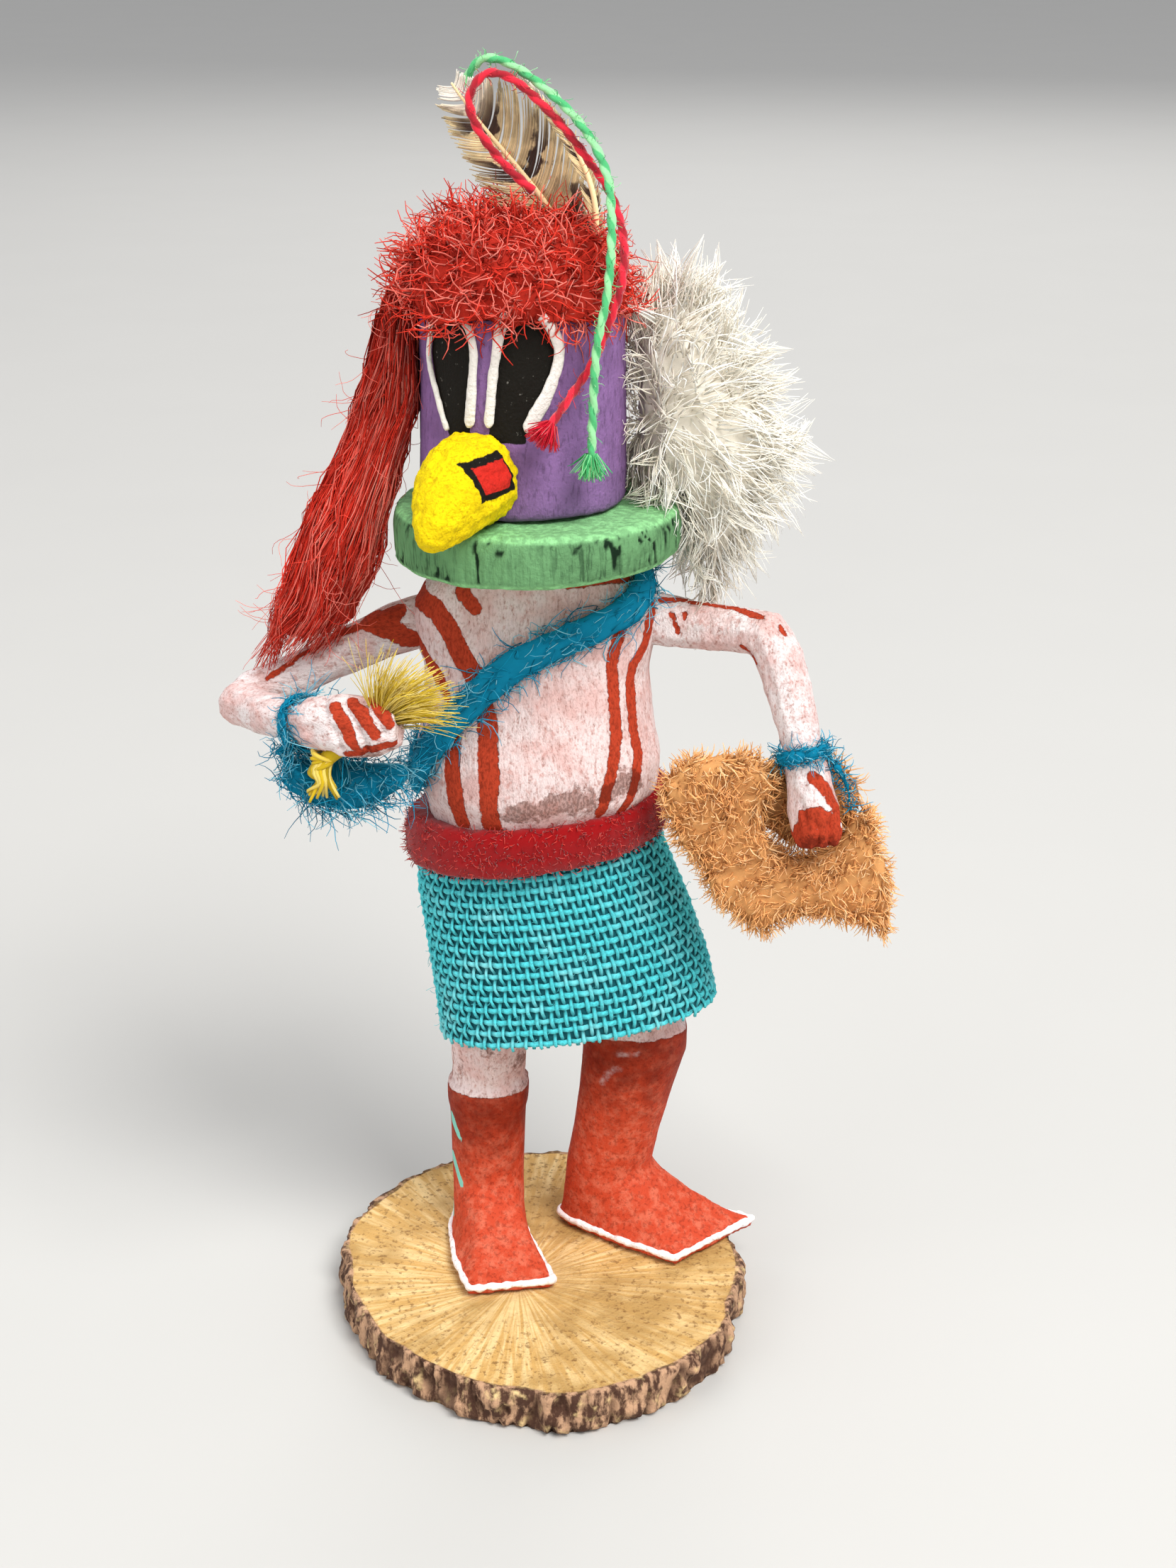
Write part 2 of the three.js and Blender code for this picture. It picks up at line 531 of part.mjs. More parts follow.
// A ring of wool at a place on an arm, at right angles to it.
function wristRing({ p, radius }, stations, grow = 0) {
  const gaps = stations.map((s) => s.p.distanceTo(p));
  const near = gaps.indexOf(Math.min(...gaps));
  const along = stations[near + 1].p.clone().sub(stations[near - 1].p).normalize();
  const ring = new THREE.TorusGeometry(radius, WRIST.thick + grow, 6, 14).scale(1, 1, WRIST.wide);
  const turn = new THREE.Quaternion().setFromUnitVectors(at(0, 0, 1), along);
  return solid(ring.applyQuaternion(turn).translate(p.x, p.y, p.z));
}

function rightWristband() {
  const bunch = solid(sweep(TUFT, 10, { ridges: { count: 5, depth: 0.1, twist: 0.7 } }));
  return clear(wristRing(WRIST.right, ARM_RIGHT).add(bunch), arm(ARM_RIGHT, GAP));
}

function leftWristband() {
  const tail = solid(sweep(WRIST_TAIL, 8));
  return clear(wristRing(WRIST.left, ARM_LEFT).add(tail), arm(ARM_LEFT, GAP));
}

// A kidney-shaped piece of fur, thick and round at its edges, with the hand sunk into it.
function pelt() {
  const { y, thick, edge, outline } = PELT;
  const curve = new THREE.CatmullRomCurve3(outline.map(([x, z]) => at(x, 0, z)), true);
  const rim = curve.getSpacedPoints(46).slice(0, -1);
  const inward = rim.map((p, i) => {
    const along = rim[(i + 1) % rim.length].clone().sub(rim.at(i - 1)).normalize();
    return at(along.z, 0, -along.x);
  });
  const depths = [[edge, -0.5], [edge * 0.3, -0.36], [0, -0.1], [0.1, 0.2], [edge * 0.5, 0.42], [edge, 0.5]];
  const rings = depths.map(([inset, out]) => rim.map((p, i) => {
    const tuft = 0.35 * Math.sin(1.7 * i) + 0.25 * Math.sin(0.7 * i);
    const q = p.clone().addScaledVector(inward[i], inset + tuft);
    q.y = y + out * thick + 0.4 * Math.sin(q.x * 0.9) * Math.cos(q.z * 0.8);
    return q;
  }));
  const ring = wristRing(WRIST.left, ARM_LEFT, GAP);
  return clear(solid(skin(rings, { flat: true })), arm(ARM_LEFT, GAP), ring);
}

// Bristles gripped in the fist: knotted below it and fanned out above.
function grassBundle(grow = 0) {
  return solid(sweep(GRASS, 12, { grow, side: at(-1, 0, 1), ridges: { count: 6, depth: 0.08, twist: 0 } }));
}

// ---------------------------------------------------------------- hair, fur and feathers
// A mop of wool over the crown, in curls, lower at the back of the head.
function mop(grow = 0) {
  const { x, y, hairline, crown, across, deep, nape } = CAP;
  const rows = 6;
  const rings = Array.from({ length: rows }, (_, i) => {
    const up = (i / (rows - 0.5)) * (Math.PI / 2);
    return bearings(28).map((a) => {
      const curls = 1 + 0.035 * Math.sin(5 * a + 1.7 * i) + 0.03 * Math.sin(11 * a - 2.3 * i);
      const low = hairline - nape * Math.max(0, Math.sin(a)) ** 2 + 0.5 * Math.sin(9 * a) - grow;
      const r = Math.cos(up) ** 0.7 * curls;
      const z = low + (crown + grow - low) * Math.sin(up);
      return at(x + (across + grow) * r * Math.cos(a), y + (deep + grow) * r * Math.sin(a), z);
    });
  });
  return solid(skin(rings));
}

function hairCap() {
  return clear(mop(), mask(GAP), feather(BROAD_FEATHER, GAP), feather(NARROW_FEATHER, GAP));
}

function hairFall() {
  const ridges = { count: 7, depth: 0.07, twist: 0.5 };
  const locks = solid(sweep(FALL, 18, { side: at(1, 0, 0), ridges }));
  return clear(locks, mop(GAP), mask(GAP), ruff(GAP), arm(ARM_RIGHT, GAP), body(GAP));
}

function furTuft() {
  const ridges = { count: 9, depth: 0.06, twist: 0.4 };
  const locks = solid(sweep(FUR, 18, { side: at(1, 0, 0), ridges }));
  return clear(locks, mop(GAP), mask(GAP), ruff(GAP), arm(ARM_LEFT, GAP), body(GAP));
}

// A feather: a thin vane on both sides of its quill, seen from the front.
function feather({ quill, thick }, grow = 0) {
  const run = grow ? stretched(quill, grow) : quill;
  const rings = run.map(({ p, near, far }, i) => {
    const along = run[Math.min(i + 1, run.length - 1)].p.clone().sub(run[Math.max(i - 1, 0)].p).normalize();
    const across = at(along.z, 0, -along.x).normalize();
    const out = along.clone().cross(across);
    const [left, right] = [-near - grow, far + grow];
    const half = thick / 2 + grow;
    const section = [[left, half * 0.6], [left * 0.3, half * 0.2], [0, 0], [right * 0.3, half * 0.2],
      [right, half * 0.6]];
    const [front, back] = [-1, 1].map((side) => section.map(([w, bow]) => p.clone()
      .addScaledVector(across, w).addScaledVector(out, bow + side * half)));
    return [...front, ...back.reverse()];
  });
  return solid(skin(rings));
}

// A string: a round section drawn along its route.
function string(route, radius = STRING_DIAMETER / 2) {
  const path = new THREE.CatmullRomCurve3(route.map((p) => at(...p)));
  const section = new THREE.Shape(bearings(8).map((a) => new THREE.Vector2(
    radius * Math.cos(a), radius * Math.sin(a),
  )));
  return solid(new THREE.ExtrudeGeometry(section, { steps: 26, bevelEnabled: false, extrudePath: path }));
}

// The frayed end of a string, widening from where the string stops.
function tassel(route) {
  const [before, end] = route.slice(-2).map((p) => at(...p));
  const along = end.clone().sub(before).normalize();
  const stations = [0, 0.25, 0.7, 1].map((t, i) => {
    const half = THREE.MathUtils.lerp(TASSEL.near, TASSEL.far, i === 3 ? 0.8 : t);
    return { p: end.clone().addScaledVector(along, GAP + t * TASSEL.long), wide: half, thick: half * 0.75 };
  });
  return solid(sweep(stations, 10, { side: at(1, 0, 0), ridges: { count: 5, depth: 0.12, twist: 0 } }));
}

// ---------------------------------------------------------------- the doll
const finish = (color, roughness) => new THREE.MeshStandardMaterial({ color, roughness, metalness: 0 });
const FINISHES = {
  bark: finish(0xc49a55, 0.9),
  whitewash: finish(0xdcc8c2, 0.85),
  green: finish(0x5f9a68, 0.85),
  purple: finish(0x7b5290, 0.8),
  yellow: finish(0xf2d81e, 0.7),
  turquoise: finish(0x38bfc4, 0.95),
  teal: finish(0x0f7f92, 1),
  red: finish(0xb01c20, 0.95),
  wool: finish(0xc8332f, 1),
  fur: finish(0xddd5c6, 1),
  pelt: finish(0xd08a48, 1),
  straw: finish(0xc9a92a, 0.8),
  feather: finish(0xcbb183, 0.8),
  greenYarn: finish(0x6fcf8f, 0.9),
  redYarn: finish(0xcc2236, 0.9),
};

const doll = new THREE.Group();

function place(name, shape, material) {
  const { vertProperties, triVerts } = shape.getMesh();
  const geometry = new THREE.BufferGeometry();
  geometry.setAttribute("position", new THREE.BufferAttribute(vertProperties, 3));
  geometry.setIndex(new THREE.BufferAttribute(triVerts, 1));
  geometry.computeVertexNormals();
  const mesh = new THREE.Mesh(geometry, material);
  mesh.name = name;
  doll.add(mesh);
}

place("base_slice", baseSlice(), FINISHES.bark);
place("body", body(), FINISHES.whitewash);
place("right_arm", clear(arm(ARM_RIGHT), body(GAP), grassBundle(GAP)), FINISHES.whitewash);
place("left_arm", clear(arm(ARM_LEFT), body(GAP)), FINISHES.whitewash);
place("ruff", ruff(), FINISHES.green);
place("mask", mask(), FINISHES.purple);
place("beak", beak(), FINISHES.yellow);
place("kilt", kilt(), FINISHES.turquoise);
place("sash", sash(), FINISHES.red);
place("bandolier", bandolier(), FINISHES.teal);
place("right_wristband", rightWristband(), FINISHES.teal);
place("left_wristband", leftWristband(), FINISHES.teal);
place("pelt", pelt(), FINISHES.pelt);
place("grass_bundle", grassBundle(), FINISHES.straw);
place("hair_cap", hairCap(), FINISHES.wool);
place("hair_fall", hairFall(), FINISHES.wool);
place("fur_tuft", furTuft(), FINISHES.fur);
place("broad_feather", clear(feather(BROAD_FEATHER), mask(GAP)), FINISHES.feather);
place("narrow_feather", clear(feather(NARROW_FEATHER), mask(GAP)), FINISHES.feather);
place("green_string", string(GREEN_STRING), FINISHES.greenYarn);
place("green_tassel", tassel(GREEN_STRING), FINISHES.greenYarn);
place("red_string", string(RED_STRING), FINISHES.redYarn);
place("red_tassel", tassel(RED_STRING), FINISHES.redYarn);

export default doll;
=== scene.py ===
"""A kachina doll: a carved and painted wooden dancer in a bird mask, dressed in cloth, felt, wool and fur.

The frame's solids give every place. Shapes are worked out in millimetres and made in metres.
"""

import itertools
import math

import bpy
import numpy as np
from bpy.props import FloatProperty, FloatVectorProperty, IntProperty, PointerProperty
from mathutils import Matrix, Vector
from mathutils.bvhtree import BVHTree


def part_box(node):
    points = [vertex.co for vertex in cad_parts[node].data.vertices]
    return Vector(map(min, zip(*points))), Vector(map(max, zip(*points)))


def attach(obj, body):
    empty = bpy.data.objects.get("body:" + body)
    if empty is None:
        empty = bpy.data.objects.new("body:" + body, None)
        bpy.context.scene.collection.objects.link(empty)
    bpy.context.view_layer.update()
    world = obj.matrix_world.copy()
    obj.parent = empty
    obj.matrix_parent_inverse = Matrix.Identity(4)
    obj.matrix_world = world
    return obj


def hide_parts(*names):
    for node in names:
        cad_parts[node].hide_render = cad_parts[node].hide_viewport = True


bl_info = {
    "name": "Kachina Doll",
    "version": (1, 0, 0),
    "blender": (4, 5, 0),
    "location": "View3D > Sidebar > Doll",
    "description": "Builds a dressed and painted dancer on a branch slice around its solids",
    "category": "Add Mesh",
}

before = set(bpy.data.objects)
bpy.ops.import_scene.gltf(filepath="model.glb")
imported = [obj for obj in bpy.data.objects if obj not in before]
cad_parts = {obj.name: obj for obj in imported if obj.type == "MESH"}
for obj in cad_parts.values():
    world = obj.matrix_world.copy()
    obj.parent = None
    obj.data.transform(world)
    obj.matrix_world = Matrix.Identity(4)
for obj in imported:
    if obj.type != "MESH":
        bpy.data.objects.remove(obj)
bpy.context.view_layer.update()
MM = 0.001
TURN = 2 * math.pi
BODY = "root"


# ---------------------------------------------------------------- settings
def rgb(code):
    """A colour from its six-digit code, in linear light."""
    parts = [int(code[i : i + 2], 16) / 255 for i in (0, 2, 4)]
    return tuple(c / 12.92 if c <= 0.04045 else ((c + 0.055) / 1.055) ** 2.4 for c in parts)


def tint(name, description, code):
    """A colour setting."""
    return FloatVectorProperty(
        name=name, description=description, subtype="COLOR", size=3, min=0, max=1, default=rgb(code)
    )


def size(name, description, millimetres):
    """A length setting."""
    return FloatProperty(
        name=name, description=description, unit="LENGTH", min=0.00001, precision=5, default=millimetres * MM
    )


def count(name, description, number):
    """A setting for how many there are."""
    return IntProperty(name=name, description=description, min=1, default=number)


class DOLL_PG_carving(bpy.types.PropertyGroup):
    """Sizes and colours of the carved and painted wood."""

    face: size("Body face size", "How fine the skin of the trunk and legs is", 0.64)
    arm_face: size("Arm face size", "How fine the skin of an arm is", 0.34)
    head_face: size("Head face size", "How fine the skins of ruff and mask are", 0.52)
    wood: tint("Bare wood", "The wood that shows where the paint has gone", "7d4c38")
    whitewash: tint("Whitewash", "The thin white paint of the skin", "f4ecea")
    blush: tint("Blush", "The pink that shows through the whitewash", "dca59c")
    stripe: tint("Stripes", "The red painted stripes", "a93a22")
    boot: tint("Boots", "The paint of the boots", "c4472b")
    # The boots' painted shade: the colour they darken to towards their tops.
    boot_shaft_shade: tint("Boot shafts", "The darker paint towards the tops of the boots", "6b1606")
    stroke: tint("Boot strokes", "The short strokes on the side of a boot", "86cdbd")
    ruff: tint("Ruff", "The paint of the wooden ruff", "74a872")
    ruff_dark: tint("Ruff grain", "The dark grain of the ruff's rim", "16291a")
    mask: tint("Mask", "The paint of the mask", "8b679a")
    eye: tint("Eyes", "The black paint of the eyes", "17140f")
    line: tint("Eye lines", "The raised lines beside the eyes", "e8e3da")
    beak: tint("Beak", "The paint of the beak", "f8da06")
    beak_mark: tint("Beak mark", "The red square on the beak", "cf2a1f")


class DOLL_PG_base(bpy.types.PropertyGroup):
    """Sizes and colours of the branch slice."""

    sides: count("Faces round", "How many faces go round the bark", 288)
    wood: tint("Sawn wood", "The golden wood of the top", "d3a660")
    pale: tint("Pale rays", "The pale rays in the sawn wood", "f0cf92")
    fleck: tint("Flecks", "The brown flecks of the sawn wood", "7a5326")
    bark: tint("Bark", "The bark round the rim", "c49a78")
    bark_dark: tint("Bark cracks", "The cracks in the bark", "4c3022")


class DOLL_PG_cloth(bpy.types.PropertyGroup):
    """Sizes and colours of the kilt and the sash."""

    warps: count("Upright threads", "How many threads stand round the kilt", 96)
    wefts: count("Level threads", "How many threads lie round the kilt", 17)
    weft_wide: size("Level thread", "Half the height of a level thread", 0.38)
    warp_wide: size("Upright thread", "Half the width of an upright thread", 0.26)
    burlap: tint("Burlap", "The turquoise thread", "4fcad0")
    # Painted shade: the colour of the gaps in the weave and of threads where they dive under others.
    burlap_shade: tint("Burlap shade", "The cloth between the threads", "0b4f58")
    felt: tint("Felt", "The red felt", "96050a")
    felt_fuzz: tint("Felt fuzz", "The loose fibres of the felt", "e8402f")


class DOLL_PG_wool(bpy.types.PropertyGroup):
    """Counts and colours of hair, wool, fur, bristles and feathers."""

    cap: count("Crown hairs", "How many hairs curl over the crown", 3700)
    fall: count("Side hairs", "How many hairs hang at the side", 1650)
    fur: count("Fur hairs", "How many hairs the fur tuft has", 3400)
    pelt: count("Pelt hairs", "How many hairs the pelt has", 4300)
    band: count("Band fibres", "How many loose fibres the shoulder band has", 1300)
    red: tint("Red wool", "The red wool", "f0402f")
    teal: tint("Teal wool", "The teal wool", "1096bc")
    white: tint("Fur", "The off-white fur", "fff6e4")
    tan: tint("Pelt", "The orange fur of the pelt", "ffbb76")
    straw: tint("Bristles", "The yellow bristles", "dcb91e")
    feather: tint("Feather", "The cream parts of the feathers", "e6cf9c")
    bar: tint("Feather bars", "The dark bars of the feathers", "3a2416")
    green: tint("Green yarn", "The green ply of a string", "55c47a")
    pale: tint("Pale yarn", "The pale ply of the green string", "bdf0b4")
    crimson: tint("Red yarn", "The red string", "cf1f33")


class DOLL_PG_stage(bpy.types.PropertyGroup):
    """The camera, the light and the floor."""

    floor: tint("Floor", "The plain floor", "c4c2bd")
    key: FloatProperty(
        name="Key light", description="Power of the main soft light in watts", default=18.0, min=0
    )
    fill: FloatProperty(name="Fill light", description="Power of the fill light in watts", default=6.0, min=0)
    sky: FloatProperty(name="Sky", description="Strength of the light from all round", default=0.62, min=0)
    lens: FloatProperty(name="Lens", description="Focal length", unit="CAMERA", default=54.1, min=10)


# ---------------------------------------------------------------- numbers and shapes
def unit(vectors):
    """Vectors of length one."""
    return vectors / np.maximum(np.linalg.norm(vectors, axis=-1, keepdims=True), 1e-9)


def noise(points, cell, seed=0):
    """Smooth noise from -1 to 1 at points in millimetres. cell is its size, or its size along each axis."""
    q = np.asarray(points) / np.asarray(cell, float) + 31.7 + seed * 7.31
    low = np.floor(q).astype(np.int64)
    share = q - low
    share = share * share * (3 - 2 * share)
    total = np.zeros(q.shape[:-1])
    for corner in itertools.product((0, 1), repeat=3):
        at = low + corner
        mixed = at[..., 0] * 73856093 ^ at[..., 1] * 19349663 ^ at[..., 2] * 83492791 ^ (seed * 9176 + 77)
        mixed = (mixed ^ (mixed >> 13)) * 1274126177
        value = ((mixed ^ (mixed >> 16)) & 0xFFFF) / 32767.5 - 1
        total += value * np.prod(np.where(corner, share, 1 - share), axis=-1)
    return total


def noises(points, cell, seeds):
    """Several noises at points, as one vector for each point."""
    return np.stack([noise(points, cell, k) for k in seeds], axis=-1)


def columns(*parts):
    """Vectors from their parts, each of which is an array or one number."""
    return np.stack(np.broadcast_arrays(*parts), axis=-1)


def stacked(rows, sides):
    """The faces of a closed form made of rings of corners, one above another."""
    i, j = np.arange(rows - 1)[:, None] * sides, np.arange(sides)[None, :]
    k = (j + 1) % sides
    quads = np.stack([i + j, i + k, i + sides + k, i + sides + j], axis=-1).reshape(-1, 4)
    return [quads, np.arange(sides)[None, ::-1], (rows - 1) * sides + np.arange(sides)[None, :]]


def cad_mesh(node):
    """A solid's corners in millimetres and its triangles."""
    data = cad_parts[node].data
    corners = np.empty(len(data.vertices) * 3, np.float32)
    data.vertices.foreach_get("co", corners)
    data.calc_loop_triangles()
    triangles = np.empty(len(data.loop_triangles) * 3, np.int32)
    data.loop_triangles.foreach_get("vertices", triangles)
    return corners.reshape(-1, 3) / MM, triangles.reshape(-1, 3)


def tree_of(*nodes):
    """A search tree over the surfaces of several solids, in millimetres."""
    corners, triangles, start = [], [], 0
    for node in nodes:
        points, faces = cad_mesh(node)
        corners.append(points)
        triangles.append(faces + start)
        start += len(points)
    return BVHTree.FromPolygons(np.concatenate(corners).tolist(), np.concatenate(triangles).tolist())


def pushed_out(paths, tree, margin, reach=6.0):
    """Points that lie inside a surface, or nearer to it than margin, moved out of it."""
    flat = paths.reshape(-1, 3).copy()
    for i, p in enumerate(flat.tolist()):
        near, normal, _, _ = tree.find_nearest(p, reach)
        if near is not None and (Vector(p) - near).dot(normal) < margin:
            flat[i] = near + normal * margin
    return flat.reshape(paths.shape)


def scattered(node, number, rng, keep=None):
    """Random places on a solid's surface, with the surface's direction there."""
    corners, triangles = cad_mesh(node)
    a, b, c = (corners[triangles[:, i]] for i in range(3))
    normals = np.cross(b - a, c - a)
    area = np.linalg.norm(normals, axis=1)
    wanted = number * 4 if keep else number
    chosen = rng.choice(len(area), wanted, p=area / area.sum())
    s, t = rng.random(wanted), rng.random(wanted)
    s, t = np.where(s + t > 1, 1 - s, s)[:, None], np.where(s + t > 1, 1 - t, t)[:, None]
    points = a[chosen] + s * (b - a)[chosen] + t * (c - a)[chosen]
    normals = unit(normals[chosen])
    if keep:
        good = keep(points, normals)
        points, normals = points[good][:number], normals[good][:number]
    return points, normals


def smooth_line(points, number, closed=False):
    """Evenly spaced points on a smooth line through the given ones."""
    p = np.asarray(points, float)
    if closed:
        p = np.concatenate([p[-1:], p, p[:2]])
    else:
        p = np.concatenate([2 * p[:1] - p[1:2], p, 2 * p[-1:] - p[-2:-1]])
    out = []
    for i in range(1, len(p) - 2):
        gaps = np.sqrt(np.linalg.norm(np.diff(p[i - 1 : i + 3], axis=0), axis=1)) + 1e-9
        m1 = (
            (p[i] - p[i - 1]) / gaps[0] - (p[i + 1] - p[i - 1]) / (gaps[0] + gaps[1]) + (p[i + 1] - p[i])
            / gaps[1]
        )
        m2 = (
            (p[i + 1] - p[i]) / gaps[1] - (p[i + 2] - p[i]) / (gaps[1] + gaps[2]) + (p[i + 2] - p[i + 1])
            / gaps[2]
        )
        t = np.linspace(0, 1, 24, endpoint=False)[:, None]
        a, b = m1 * gaps[1], m2 * gaps[1]
        out.append(
            (2 * t**3 - 3 * t**2 + 1) * p[i]
            + (t**3 - 2 * t**2 + t) * a
            + (3 * t**2 - 2 * t**3) * p[i + 1]
            + (t**3 - t**2) * b
        )
    fine = np.concatenate([*out, p[-2:-1]])
    run = np.concatenate([[0], np.cumsum(np.linalg.norm(np.diff(fine, axis=0), axis=1))])
    places = np.linspace(0, run[-1], number, endpoint=not closed)
    return np.stack([np.interp(places, run, fine[:, k]) for k in range(3)], axis=1)


def line_length(points):
    return float(np.linalg.norm(np.diff(points, axis=0), axis=1).sum())


def to_line(points, line, half=0.0):
    """How far each point is outside a painted stroke along a line. half may vary along it."""
    line = np.asarray(line, float)
    half = np.broadcast_to(np.asarray(half, float), len(line))
    best = np.full(len(points), 1e9)
    for a, b, ra, rb in zip(line[:-1], line[1:], half[:-1], half[1:]):
        along = b - a
        t = np.clip(((points - a) @ along) / (along @ along), 0, 1)
        gap = np.linalg.norm(points - (a + t[:, None] * along), axis=1) - (ra + (rb - ra) * t)
        best = np.minimum(best, gap)
    return best


def in_polygon(u, v, corners):
    """How far points of a plane are outside a convex outline, which runs clockwise."""
    best = np.full(len(u), -1e9)
    for (ax, ay), (bx, by) in zip(corners, corners[1:] + corners[:1]):
        ex, ey = bx - ax, by - ay
        length = math.hypot(ex, ey)
        best = np.maximum(best, ((v - ay) * ex - (u - ax) * ey) / length)
    return best


class Pile:
    """The corners, faces and measures of one piece, gathered from its parts."""

    def __init__(self):
        self.points, self.faces, self.marks, self.start = [], [], {}, 0

    def add(self, points, faces, **marks):
        points = np.asarray(points, float).reshape(-1, 3)
        for key, values in marks.items():
            values = np.broadcast_to(np.asarray(values, float), (len(points),))
            self.marks.setdefault(key, []).append((self.start, values))
        self.points.append(points)
        for group in faces:
            self.faces.append(np.asarray(group, np.int64) + self.start)
        self.start += len(points)
        return self

    def piece(self, name, material, smooth=True):
        """The finished object, riding on the body."""
        mesh = bpy.data.meshes.new(name)
        faces = [f for group in self.faces for f in group.tolist()]
        mesh.from_pydata((np.concatenate(self.points) * MM).tolist(), [], faces)
        for key, parts in self.marks.items():
            values = np.zeros(self.start)
            for start, some in parts:
                values[start : start + len(some)] = some
            mesh.attributes.new(key, "FLOAT", "POINT").data.foreach_set("value", values.astype(np.float32))
        mesh.polygons.foreach_set("use_smooth", [smooth] * len(mesh.polygons))
        mesh.materials.append(material)
        mesh.update()
        piece = bpy.data.objects.new(name, mesh)
        bpy.context.scene.collection.objects.link(piece)
        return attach(piece, BODY)


def tubes(paths, wide, thick=None, out=None, sides=3, closed=False):
    """Corners and faces of closed tubes along paths of (count, steps, 3).

    wide and thick are half sizes, one number or (count, steps). out is where the thickness points.
    """
    number, steps, _ = paths.shape
    wide = np.broadcast_to(np.asarray(wide, float), (number, steps))
    thick = wide if thick is None else np.broadcast_to(np.asarray(thick, float), (number, steps))
    if closed:
        along = unit(np.roll(paths, -1, axis=1) - np.roll(paths, 1, axis=1))
    else:
        along = unit(np.gradient(paths, axis=1))
    if out is None:
        chord = unit(paths[:, -1] - paths[:, 0])
        axis = np.eye(3)[np.argmin(np.abs(chord), axis=1)]
        out = np.repeat(axis[:, None], steps, axis=1)
    t = unit(out - np.sum(out * along, axis=-1, keepdims=True) * along)
    w = np.cross(along, t)
    angle = np.arange(sides) / sides * TURN
    ring = (
        paths[:, :, None]
        + (wide[..., None] * np.cos(angle))[..., None] * w[:, :, None]
        + (thick[..., None] * np.sin(angle))[..., None] * t[:, :, None]
    )
    start = (np.arange(number) * steps * sides)[:, None, None]
    i = np.arange(steps if closed else steps - 1)[None, :, None] * sides
    ahead = ((np.arange(steps if closed else steps - 1) + 1) % steps)[None, :, None] * sides
    j = np.arange(sides)[None, None, :]
    k = (j + 1) % sides
    quads = np.stack(
        [start + i + j, start + i + k, start + ahead + k, start + ahead + j], axis=-1
    ).reshape(-1, 4)
    if closed:
        return ring.reshape(-1, 3), [quads]
    first = start[:, 0] + np.arange(sides)[::-1]
    last = start[:, 0] + (steps - 1) * sides + np.arange(sides)
    return ring.reshape(-1, 3), [quads, first, last]


def hairs(pile, paths, radius, rng, sides=3, tip=0.25, flat=1.0, tone=None):
    """Adds one tapering hair for each path, with its tone and how far along it each corner is."""
    number, steps, _ = paths.shape
    t = np.linspace(0, 1, steps)
    radius = np.broadcast_to(np.asarray(radius, float), (number,))
    wide = radius[:, None] * (1 - (1 - tip) * t**2)
    points, faces = tubes(paths, wide, wide * flat, sides=sides)
    tone = rng.random(number) if tone is None else tone
    return pile.add(
        points, faces, tone=np.repeat(tone, steps * sides), reach=np.tile(np.repeat(t, sides), number)
    )


def grown(roots, heading, length, steps, rng, curl=0.4, jitter=0.15, pull=(0, 0, 0), drift=0.0, cell=3.0):
    """Paths of hairs from their roots. curl turns each one steadily, drift moves neighbours alike."""
    number = len(roots)
    length = np.broadcast_to(np.asarray(length, float), (number,))
    step = (length / (steps - 1))[:, None]
    p = roots.astype(float).copy()
    d = unit(heading.astype(float))
    axis = unit(rng.normal(size=(number, 3)))
    angle = rng.normal(size=(number, 1)) * curl
    path = [p]
    for _ in range(steps - 1):
        d = d + np.cross(axis, d) * angle + rng.normal(size=(number, 3)) * jitter + np.asarray(pull)
        if drift:
            d = d + drift * noises(p, cell, (3, 4, 5))
        d = unit(d)
        p = p + d * step
        path.append(p)
    return np.stack(path, axis=1)


def skinned(node, face, soften):
    """A solid's shape as an even skin of small faces: corners, faces and outward directions."""
    points, triangles = cad_mesh(node)
    mesh = bpy.data.meshes.new("skin")
    mesh.from_pydata(points.tolist(), [], triangles.tolist())
    piece = bpy.data.objects.new("skin", mesh)
    bpy.context.scene.collection.objects.link(piece)
    even = piece.modifiers.new("Even faces", "REMESH")
    even.mode = "VOXEL"
    even.voxel_size = face / MM
    relaxed = piece.modifiers.new("Soft edges", "SMOOTH")
    relaxed.factor = 0.5
    relaxed.iterations = soften
    relaxed.show_viewport = soften > 0
    made = bpy.data.meshes.new_from_object(piece.evaluated_get(bpy.context.evaluated_depsgraph_get()))
    bpy.data.objects.remove(piece)
    bpy.data.meshes.remove(mesh)
    corners = np.empty(len(made.vertices) * 3, np.float32)
    made.vertices.foreach_get("co", corners)
    normals = np.empty(len(made.vertices) * 3, np.float32)
    made.vertex_normals.foreach_get("vector", normals)
    faces = np.array([list(f.vertices) for f in made.polygons if len(f.vertices) == 4], np.int64)
    triangles = [list(f.vertices) for f in made.polygons if len(f.vertices) == 3]
    bpy.data.meshes.remove(made)
    groups = [faces] + ([np.array(triangles, np.int64)] if triangles else [])
    return corners.reshape(-1, 3).astype(float), groups, normals.reshape(-1, 3).astype(float)


